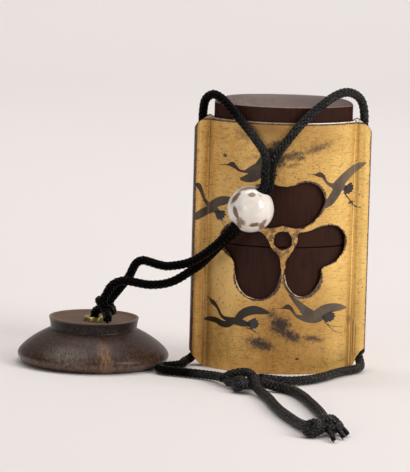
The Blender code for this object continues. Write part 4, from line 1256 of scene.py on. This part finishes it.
# Each bird: strokes of (x, z, half width) for beak, neck, body, wings and legs, then the
# tail fan's root and tips; all in millimetres on the front.
BIRDS = {
    "upper_left": {
        "body": [
            [(-20.9, 67.3, 0.04), (-18.6, 67.6, 0.16), (-17.2, 67.8, 0.3)],
            [(-17.4, 67.8, 0.45), (-16.4, 67.9, 0.95), (-15.5, 67.3, 0.62), (-14.0, 66.2, 0.42),
             (-12.2, 66.0, 0.5), (-10.6, 66.5, 1.1), (-8.6, 66.9, 2.0), (-6.4, 67.0, 2.0), (-4.0, 66.4, 1.0)],
            [(-8.4, 67.2, 1.2), (-7.2, 69.2, 1.3), (-5.6, 71.2, 1.5), (-3.8, 72.9, 1.4), (-1.8, 73.8, 0.5)],
            [(-7.6, 65.9, 1.6), (-9.4, 64.6, 1.7), (-11.4, 63.8, 1.3), (-13.2, 63.5, 0.6)],
        ],
        "legs": [],
        "tail": ((-5.0, 65.6), [(-2.0, 66.6), (-1.8, 65.4), (-2.2, 64.2), (-3.2, 63.2)]),
    },
    "left": {
        "body": [
            [(-29.2, 60.5, 0.04), (-28.6, 60.3, 0.14), (-28.0, 60.2, 0.26)],
            [(-28.2, 60.2, 0.4), (-27.3, 60.0, 0.85), (-26.5, 58.8, 0.7), (-25.9, 57.3, 0.55), (-25.2, 55.5, 0.45),
             (-24.1, 54.1, 0.7), (-22.9, 53.0, 1.15), (-21.6, 52.4, 1.15), (-20.4, 51.8, 0.7)],
            [(-22.9, 53.2, 1.2), (-21.6, 54.4, 1.35), (-20.2, 55.3, 1.45), (-18.6, 55.9, 1.4), (-16.9, 56.4, 0.9)],
            [(-23.0, 52.3, 1.2), (-24.6, 51.6, 1.35), (-26.2, 50.7, 1.3), (-27.6, 49.7, 1.1), (-28.8, 48.9, 0.6)],
        ],
        "legs": [[(-20.4, 50.4, 0.16), (-19.6, 49.2, 0.12), (-18.6, 47.9, 0.08)],
                 [(-19.8, 50.2, 0.16), (-19.0, 49.4, 0.12), (-18.0, 48.4, 0.08)]],
        "tail": ((-21.3, 51.6), [(-18.3, 52.2), (-18.0, 51.2), (-18.4, 50.2), (-19.2, 49.4), (-20.3, 49.2)]),
    },
    "upper_right": {
        "body": [
            [(7.7, 65.9, 0.04), (9.6, 65.8, 0.1), (11.0, 65.6, 0.24)],
            [(10.9, 65.6, 0.42), (12.0, 65.6, 0.85), (13.2, 65.0, 0.62), (14.0, 63.6, 0.45), (15.0, 62.5, 0.5),
             (16.6, 61.8, 0.85), (18.4, 61.4, 1.1), (20.2, 60.9, 1.0), (21.4, 60.6, 0.6)],
            [(17.6, 61.4, 1.5), (19.2, 63.0, 1.6), (21.0, 64.8, 1.45), (23.0, 66.5, 1.25), (25.2, 67.9, 0.95),
             (27.0, 68.8, 0.4)],
            [(18.6, 61.0, 1.3), (17.5, 59.2, 1.5), (16.3, 57.4, 1.4), (15.2, 56.0, 1.15), (14.5, 55.0, 0.5)],
        ],
        "legs": [[(20.2, 59.2, 0.12), (21.6, 57.4, 0.1), (23.0, 55.4, 0.09), (24.3, 54.3, 0.08), (26.2, 54.1, 0.07)],
                 [(20.6, 59.0, 0.11), (22.2, 57.0, 0.09), (23.5, 55.2, 0.08), (24.8, 54.3, 0.07), (26.0, 54.4, 0.06)]],
        "tail": ((20.6, 60.7), [(22.9, 62.2), (23.5, 61.2), (23.5, 60.2), (23.0, 59.3), (22.1, 58.7), (21.0, 58.6)]),
    },
    "lower_left": {
        "body": [
            [(-23.8, 23.5, 0.04), (-22.9, 22.9, 0.14), (-22.2, 22.4, 0.28)],
            [(-22.3, 22.5, 0.42), (-21.5, 21.8, 0.8), (-20.5, 20.9, 0.55), (-19.6, 19.6, 0.4), (-18.9, 18.2, 0.42),
             (-17.8, 17.3, 0.6), (-16.0, 16.8, 0.95), (-13.8, 16.6, 1.2), (-11.6, 16.2, 1.15), (-9.8, 15.9, 0.7)],
            [(-13.4, 17.0, 1.2), (-12.2, 18.8, 1.3), (-10.4, 20.1, 1.45), (-8.0, 20.8, 1.45), (-5.6, 20.6, 1.1),
             (-3.4, 20.2, 0.4)],
            [(-15.0, 16.2, 0.9), (-16.8, 15.2, 1.05), (-18.6, 15.3, 1.05), (-20.2, 16.0, 0.95), (-22.0, 16.1, 0.85),
             (-23.8, 15.8, 0.5)],
        ],
        "legs": [[(-10.4, 14.8, 0.12), (-8.7, 14.3, 0.11), (-7.4, 13.4, 0.08)],
                 [(-10.0, 14.9, 0.1), (-8.2, 14.2, 0.1), (-6.6, 12.9, 0.07)]],
        "tail": ((-10.1, 16.3), [(-7.3, 18.1), (-6.6, 17.3), (-6.3, 16.4), (-6.5, 15.5), (-7.2, 14.9), (-8.2, 14.6)]),
    },
    "lower_right": {
        "body": [
            [(-1.8, 21.8, 0.04), (0.2, 21.7, 0.1), (1.8, 21.9, 0.24)],
            [(1.7, 22.0, 0.42), (2.8, 22.3, 0.85), (4.0, 21.7, 0.6), (4.8, 20.5, 0.42), (5.8, 19.4, 0.5),
             (7.6, 18.7, 0.85), (10.0, 18.2, 1.2), (12.4, 18.2, 1.3), (14.4, 18.5, 0.9)],
            [(10.8, 19.0, 2.0), (8.9, 20.7, 1.6), (7.1, 22.5, 1.15), (5.2, 24.4, 0.75), (3.4, 26.2, 0.3)],
            [(11.8, 19.2, 1.5), (13.4, 20.3, 1.6), (15.4, 21.2, 1.65), (17.8, 21.5, 1.5), (20.0, 21.4, 1.1),
             (21.9, 21.1, 0.4)],
        ],
        "legs": [[(15.0, 17.2, 0.1), (16.4, 16.0, 0.09), (18.4, 15.2, 0.07), (21.2, 15.0, 0.06)],
                 [(15.2, 17.0, 0.1), (16.8, 15.3, 0.09), (18.6, 13.6, 0.07), (21.3, 12.7, 0.06)]],
        "tail": ((14.5, 18.7), [(17.6, 20.2), (18.4, 19.5), (18.7, 18.6), (18.3, 17.7), (17.4, 17.1), (16.2, 16.9)]),
    },
}


def front_skin():
    """Thin closed skin along the sheath's front, proud of it and sunk in it by a hair."""
    across = [x * MM for x in np.arange(-SKIN_HALF_WIDTH_MM, SKIN_HALF_WIDTH_MM + 0.05, SKIN_GAP_MM)]
    outer = [(x, front_depth(x) - PROUD) for x in across]
    inner = [(x, front_depth(x) + SUNK) for x in across]
    skin = bmesh.new()
    extrude(skin, outer + inner[::-1], upward, *SKIN_HEIGHTS)
    return skin


def make_birds(name, outlines, finish):
    """Figures cut from the front skin, closed and no thicker than a coat of lacquer."""
    figures = add_object(name + "_form", front_skin(), [finish])
    brush = bmesh.new()
    for outline in outlines:
        extrude(brush, [(x * MM, z * MM) for x, z in outline], backward, -WELL_OUT, BRUSH_END)
    cut(figures, name + "_brush", brush, [finish], crossing=True, operation="INTERSECT")
    openwork = bmesh.new()
    for points_mm in OPENINGS_MM:
        points = opening_line(points_mm, BIRD_OUTLINE_GAP)
        (points,) = unfolded(points, points + outward_normals(points) * BIRD_CLEARANCE)
        extrude(openwork, points, backward, -WELL_OUT, BRUSH_END)
    cut(figures, name + "_openwork", openwork, [finish])
    hand_over(settle_mesh(figures, name, smooth_angle=35), None)


def make_pewter_finish():
    """Grey-brown lacquer of the birds, darker on the heads, with painted shade darkening the birds on the left and a
    painted highlight on the right wing tips.
    """
    finish = Finish("pewter_lacquer")
    x, z, flat = finish.x, finish.z, finish.flat()
    cloud = finish.noise(0.35, 3.0).fade(0.35, 0.65)
    speck = finish.noise(4.0, 2.0)
    places = [bird["body"][1][1] for bird in BIRDS.values()]
    heads = strongest([flat.distance((place[0], 0.0, place[1])).fade(3.2, 1.6) for place in places])
    grey = layered(cloud.mix((0.062, 0.041, 0.025), (0.105, 0.072, 0.048)), [
        (speck.fade(0.35, 0.7, 0.0, 0.3), (0.13, 0.095, 0.065)),
        # Painted shade: the birds left of the middle are darker.
        (x.fade(0.5, -2.5), cloud.mix((0.038, 0.025, 0.014), (0.072, 0.049, 0.032))),
        # Painted highlight on the wing tips at the right.
        (x.fade(17.5, 24.0, 0.0, 0.75), (0.25, 0.185, 0.12)),
        (x.fade(-14.0, -20.0) * z.fade(40.0, 50.0), (0.088, 0.058, 0.040)),
        (x.fade(2.0, -2.0) * z.fade(36.0, 28.0, 0.0, 0.95), (0.022, 0.015, 0.008)),
        (heads, (0.050, 0.022, 0.016)),
    ])
    return finish.done({"Base Color": grey, "Metallic": 0.25, "Roughness": 0.4}, speck, 0.15, 0.00005)


def make_black_lacquer():
    finish = Finish("black_lacquer")
    black = finish.noise(0.8, 3.0).mix((0.008, 0.007, 0.008), (0.030, 0.026, 0.028))
    return finish.done({"Base Color": black, "Roughness": 0.3})


bodies, legs, tails = [], [], []
for bird in BIRDS.values():
    bodies += [brush_stroke(row) for row in bird["body"]]
    legs += [brush_stroke(row) for row in bird["legs"]]
    tails += feather_fan(*bird["tail"])
make_birds("bird_bodies", bodies, make_pewter_finish())
make_birds("bird_tails_and_legs", tails + legs, make_black_lacquer())


# ---------------------------------------------------------------- bead

BEAD_STEPS = 96
BORE_ROWS = 10
ROUND_ROWS = 56
BORE_ROOM = 0.02 * MM
LIP_WIDTH = 0.55 * MM
LIP_STEP = 0.16 * MM
BEAD_SWELL = 0.0022
BEAD_RADIUS = 7.55 * MM
BEAD_CENTRE = Vector((-10.2, -20.3, 55.0)) * MM
BEAD_AXIS = Vector((0.58, 0.0, 0.815)).normalized()
PAIR_OFFSET = Vector((-0.815, -1.41, 0.58)) * MM

# Brown patches: direction from the centre, long axis, half length, half width, depth of colour.
BEAD_PATCHES = [
    ((-0.67, -0.50, 0.55), (0.55, 0.1, 0.8), 0.312, 0.155, 0.99),
    ((0.03, -0.70, 0.71), (1.0, 0.0, 0.0), 0.169, 0.115, 0.88),
    ((-0.64, -0.76, -0.08), (-0.35, 0.2, 0.9), 0.312, 0.121, 1),
    ((-0.42, -0.79, -0.44), (-0.6, 0.3, 0.75), 0.221, 0.162, 0.88),
    ((-0.48, -0.62, -0.62), (0.4, 0.3, 0.85), 0.221, 0.121, 0.83),
    ((0.19, -0.80, -0.57), (1.0, 0.1, 0.15), 0.221, 0.115, 1),
    ((0.53, -0.66, -0.53), (0.7, 0.1, 0.7), 0.247, 0.135, 0.94),
    ((0.50, -0.50, -0.70), (0.2, 0.7, -0.7), 0.286, 0.135, 0.88),
    ((-0.12, -0.30, 0.94), (1.0, 0.1, 0.0), 0.442, 0.162, 0.83),
    ((0.35, -0.62, 0.70), (0.7, 0.0, -0.7), 0.13, 0.081, 0.39),
    ((0.75, 0.35, 0.56), (0.0, 1.0, -0.3), 0.286, 0.149, 0.99),
    ((0.30, 0.85, 0.42), (1.0, -0.2, 0.1), 0.208, 0.121, 0.88),
    ((-0.35, 0.80, 0.48), (0.6, 0.2, 0.7), 0.26, 0.135, 0.99),
    ((-0.62, 0.66, -0.42), (-0.4, 0.1, 0.9), 0.286, 0.135, 0.99),
    ((0.10, 0.82, -0.56), (1.0, 0.0, 0.2), 0.234, 0.121, 0.99),
    ((0.72, 0.50, -0.48), (0.3, 0.6, 0.7), 0.234, 0.135, 0.88),
]


def make_bead_finish():
    """White glaze with soft brown patches and a few grey-brown flecks."""
    finish = Finish("bead_glaze")
    spot = finish.where.vector("SUBTRACT", BEAD_CENTRE / MM).vector("NORMALIZE")
    ragged = finish.noise(0.9, 3.0, 0.6) * 1.1 - 0.55
    patches = []
    for direction, along, half_length, half_width, depth in BEAD_PATCHES:
        direction = Vector(direction).normalized()
        third = direction.cross(Vector(along)).normalized()
        off = spot.vector("SUBTRACT", direction)
        reach = combine(
            off.dot(third.cross(direction)) / half_length, off.dot(third) / half_width, off.dot(direction) * 3.0)
        patches.append((reach.length() + ragged).fade(1.35, 0.7, 0.0, depth))
    patches = strongest(patches)
    brown = finish.noise(1.3, 3.0).mix((0.11, 0.056, 0.027), (0.27, 0.155, 0.088))
    glaze = layered(finish.noise(0.3, 3.0).fade(0.35, 0.7).mix((0.84, 0.80, 0.75), (0.74, 0.67, 0.58)), [
        (finish.noise(1.6, 2.0).fade(0.66, 0.74, 0.0, 0.35), (0.42, 0.34, 0.28)),
        (patches, brown),
    ])
    return finish.done({
        "Base Color": glaze, "Roughness": 0.24, "Coat Weight": 0.35, "Coat Roughness": 0.14,
        "Subsurface Weight": 0.08, "Subsurface Radius": (0.002, 0.0015, 0.001),
    }, patches, -0.25, 0.00008)


def make_bead():
    """Hand-rounded bead: one closed skin over the outside and down the oval bore."""
    aside = PAIR_OFFSET.normalized()
    third = BEAD_AXIS.cross(aside)
    far = PAIR_OFFSET.length
    dice = random.Random(3)
    waves = [(dice.uniform(1, 3), dice.uniform(0, math.tau), dice.uniform(0, math.tau)) for _ in range(5)]

    def bore_reach(turn):
        """Distance from the axis to the oval bore's wall, at a turn round the axis."""
        cos, sin = abs(math.cos(turn)), abs(math.sin(turn))
        straight = CORD_ROOM / max(sin, 1e-6)
        if straight * cos <= far:
            return straight
        return far * cos + math.sqrt(CORD_ROOM**2 - (far * sin) ** 2)

    bead = bmesh.new()
    rows = []
    for turn in (math.tau * i / BEAD_STEPS for i in range(BEAD_STEPS)):
        wall = bore_reach(turn) + BORE_ROOM
        edge = math.asin((wall + LIP_WIDTH) / BEAD_RADIUS)
        mouth = math.cos(edge) * BEAD_RADIUS
        section = [(wall, share * mouth * 0.93) for share in np.linspace(-1, 1, BORE_ROWS)]
        section.append((wall + LIP_STEP, mouth * 0.975))
        angles = np.linspace(edge, math.pi - edge, ROUND_ROWS)
        section += [(BEAD_RADIUS * math.sin(a), BEAD_RADIUS * math.cos(a)) for a in angles]
        section.append((wall + LIP_STEP, -mouth * 0.975))
        row = []
        for out, up in section:
            swell = sum(math.sin(n * turn + a) * math.sin(4 * up / BEAD_RADIUS + b) for n, a, b in waves)
            out *= 1 + BEAD_SWELL * swell * min(1.0, out / BEAD_RADIUS)
            place = BEAD_CENTRE + aside * out * math.cos(turn) + third * out * math.sin(turn) + BEAD_AXIS * up
            row.append(bead.verts.new(place))
        rows.append(row)
    bridge(bead, rows, closed=True)
    hand_over(add_object("glazed_bead", bead, [make_bead_finish()], smooth_angle=60), "ojime")


make_bead()


# ---------------------------------------------------------------- toggle

TOGGLE_CENTRE = Vector((-60.5, -1.0, 0.0)) * MM
EYELET_RADIUS = 3.2 * MM
EYELET_HOLE = 2.1 * MM
EYELET_TOP = 15.1 * MM
SEAT_FLOOR = 13.0 * MM
TOGGLE_STEPS = 160
EYELET_STEPS = 72
LATHE_MARK = 0.012 * MM
HONEY_TURN = math.radians(79)

# Side view of the toggle from the middle of its foot to the rim of the eyelet's seat: radius and height.
TOGGLE_PROFILE_MM = [
    (0, 0), (12, 0), (20.9, 0), (21.9, 0.15), (23.1, 0.6), (24.2, 1.5), (24.8, 2.5), (24.9, 3.3),
    (24.6, 4.2), (23.6, 5.5), (22.0, 6.9), (19.8, 8.5), (17.6, 9.85), (15.6, 10.9), (14.55, 11.45),
    (14.25, 11.7), (14.2, 12.2), (14.35, 13.4), (14.6, 14.6), (14.8, 15.25), (14.7, 15.5), (14.4, 15.55),
    (14.0, 15.45), (13.6, 15.1), (12.9, 14.75), (11.0, 14.5), (8.5, 14.3), (6.0, 14.2), (4.4, 14.2),
]


def turned(name, profile, steps, material):
    """Turn a closed (r, z) loop, or one that starts and ends on the axis, about the toggle's axis."""
    bm = bmesh.new()
    rings = []
    for r, z in profile:
        angles = [math.tau * i / steps for i in range(steps)] if r > 1e-6 else [0.0]
        places = [TOGGLE_CENTRE + Vector((r * math.cos(a), r * math.sin(a), z)) for a in angles]
        rings.append([bm.verts.new(place) for place in places])
    bridge(bm, rings, closed=len(rings[0]) > 1)
    return add_object(name, bm, [material], smooth_angle=40)


def worn_round(profile, times):
    """Profile with its corners cut back again and again, as handling does; its ends stay."""
    for _ in range(times):
        softer = [profile[0]]
        for a, b in zip(profile, profile[1:]):
            softer.append((0.75 * a[0] + 0.25 * b[0], 0.75 * a[1] + 0.25 * b[1]))
            softer.append((0.25 * a[0] + 0.75 * b[0], 0.25 * a[1] + 0.75 * b[1]))
        profile = softer + [profile[-1]]
    return profile


def make_wood_finish():
    """Dark polished wood: turning rings, short upright flecks and one honey-brown streak, with a painted sheen on the
    body, painted light from the floor on the low rim and painted shade on the collar.
    """
    finish = Finish("turned_wood")
    local = finish.where.vector("SUBTRACT", TOGGLE_CENTRE / MM)
    x, y, z = local.parts()
    reach = (x * x + y * y).math("SQRT")
    turn = y.math("ARCTAN2", x)
    grain = combine(x, y * 0.16, z * 0.5).noise(1.5, 5.0, 0.65, 0.3)
    fleck = combine(turn * 26.0, reach * 0.35, 0.0).noise(1.0, 4.0, 0.6)
    ring = combine(reach * 2.6, z * 2.6, turn).noise(1.0, 3.0, 0.6)
    pores = combine(turn * 62.0, reach * 1.3, z * 1.3).noise(1.0, 3.0, 0.6)

    streak = abs(turn + HONEY_TURN).fade(0.15, 0.03) * reach.fade(16.0, 22.0)
    # Painted light: a lighter band low on the rim, where light from the floor falls.
    low = z.fade(4.0, 2.2) * z.fade(0.6, 1.8)
    # Painted sheen on the body's left.
    sheen = local.reach_from((-8.0, -24.0, 5.4), (9.0, 12.0, 3.2)).fade(1.3, 0.3, 0.0, 0.95)
    dish = reach.fade(14.3, 13.6) * z.fade(13.4, 14.1)
    # Painted shade: the upright collar below the lip is near black.
    collar = reach.fade(15.2, 14.9) * z.fade(11.0, 11.8) * reach.fade(13.6, 14.0) * z.fade(15.0, 14.4)
    lip = reach.fade(13.5, 14.0) * z.fade(14.9, 15.2)
    wood = layered(grain.fade(0.35, 0.65).mix((0.021, 0.0085, 0.0045), (0.048, 0.022, 0.012)), [
        (ring.fade(0.5, 0.75, 0.0, 0.5), (0.018, 0.008, 0.005)),
        (fleck.fade(0.55, 0.75, 0.0, 0.5), (0.085, 0.052, 0.036)),
        (streak * fleck.fade(0.36, 0.62, 0.25, 1.0) * 0.6, (0.30, 0.155, 0.065)),
        (low * grain.fade(0.35, 0.60, 0.25, 0.8), (0.155, 0.098, 0.072)),
        (sheen * grain.fade(0.38, 0.62, 0.35, 1.0), (0.150, 0.112, 0.094)),
        (dish * 0.85, (0.172, 0.106, 0.072)),
        (collar, (0.006, 0.0025, 0.0015)),
        (lip * 0.6, (0.22, 0.15, 0.11)),
        (pores.fade(0.53, 0.66, 0.0, 0.45), (0.16, 0.105, 0.078)),
        (pores.fade(0.45, 0.36, 0.0, 0.6), (0.008, 0.004, 0.0025)),
    ])
    rough = pores * 0.30 + 0.20 + dish * 0.3 + low * -0.16
    sockets = {"Base Color": wood, "Roughness": rough, "Specular IOR Level": 0.26}
    return finish.done(sockets, ring + pores, 0.5, 0.0001)


def make_brass_finish():
    finish = Finish("brass")
    tarnish = finish.noise(0.9, 3.0)
    brass = tarnish.mix((0.32, 0.26, 0.07), (0.55, 0.48, 0.19))
    brass = tarnish.fade(0.5, 0.3, 0.0, 0.5).mix(brass, (0.12, 0.10, 0.03))
    sockets = {"Base Color": brass, "Metallic": 0.85, "Roughness": 0.24}
    return finish.done(sockets, finish.noise(3.0, 2.0), 0.1, 0.00005)


def make_toggle():
    seat = EYELET_RADIUS + GAP
    profile = worn_round([(r * MM, z * MM) for r, z in TOGGLE_PROFILE_MM], 2)
    dice = random.Random(11)
    cut_marks = []
    for r, z in profile:
        turned_here = z > 0.6 * MM and r < 24 * MM
        cut_marks.append((r, z + dice.uniform(-1, 1) * LATHE_MARK if turned_here else z))
    cut_marks += [(seat, TOGGLE_PROFILE_MM[-1][1] * MM), (seat, SEAT_FLOOR), (0, SEAT_FLOOR)]
    hand_over(turned("wooden_toggle", cut_marks, TOGGLE_STEPS, make_wood_finish()), "netsuke")

    foot = SEAT_FLOOR + GAP
    middle = (EYELET_HOLE + EYELET_RADIUS) / 2
    half = (EYELET_RADIUS - EYELET_HOLE) / 2
    ring = [(EYELET_HOLE, foot), (EYELET_RADIUS, foot), (EYELET_RADIUS, EYELET_TOP)]
    ring += [
        (middle + half * math.cos(a), EYELET_TOP + half * math.sin(a)) for a in np.linspace(0.25, math.pi - 0.1, 12)]
    hand_over(turned("brass_eyelet", ring, EYELET_STEPS, make_brass_finish()), "netsuke_eyelet")


make_toggle()
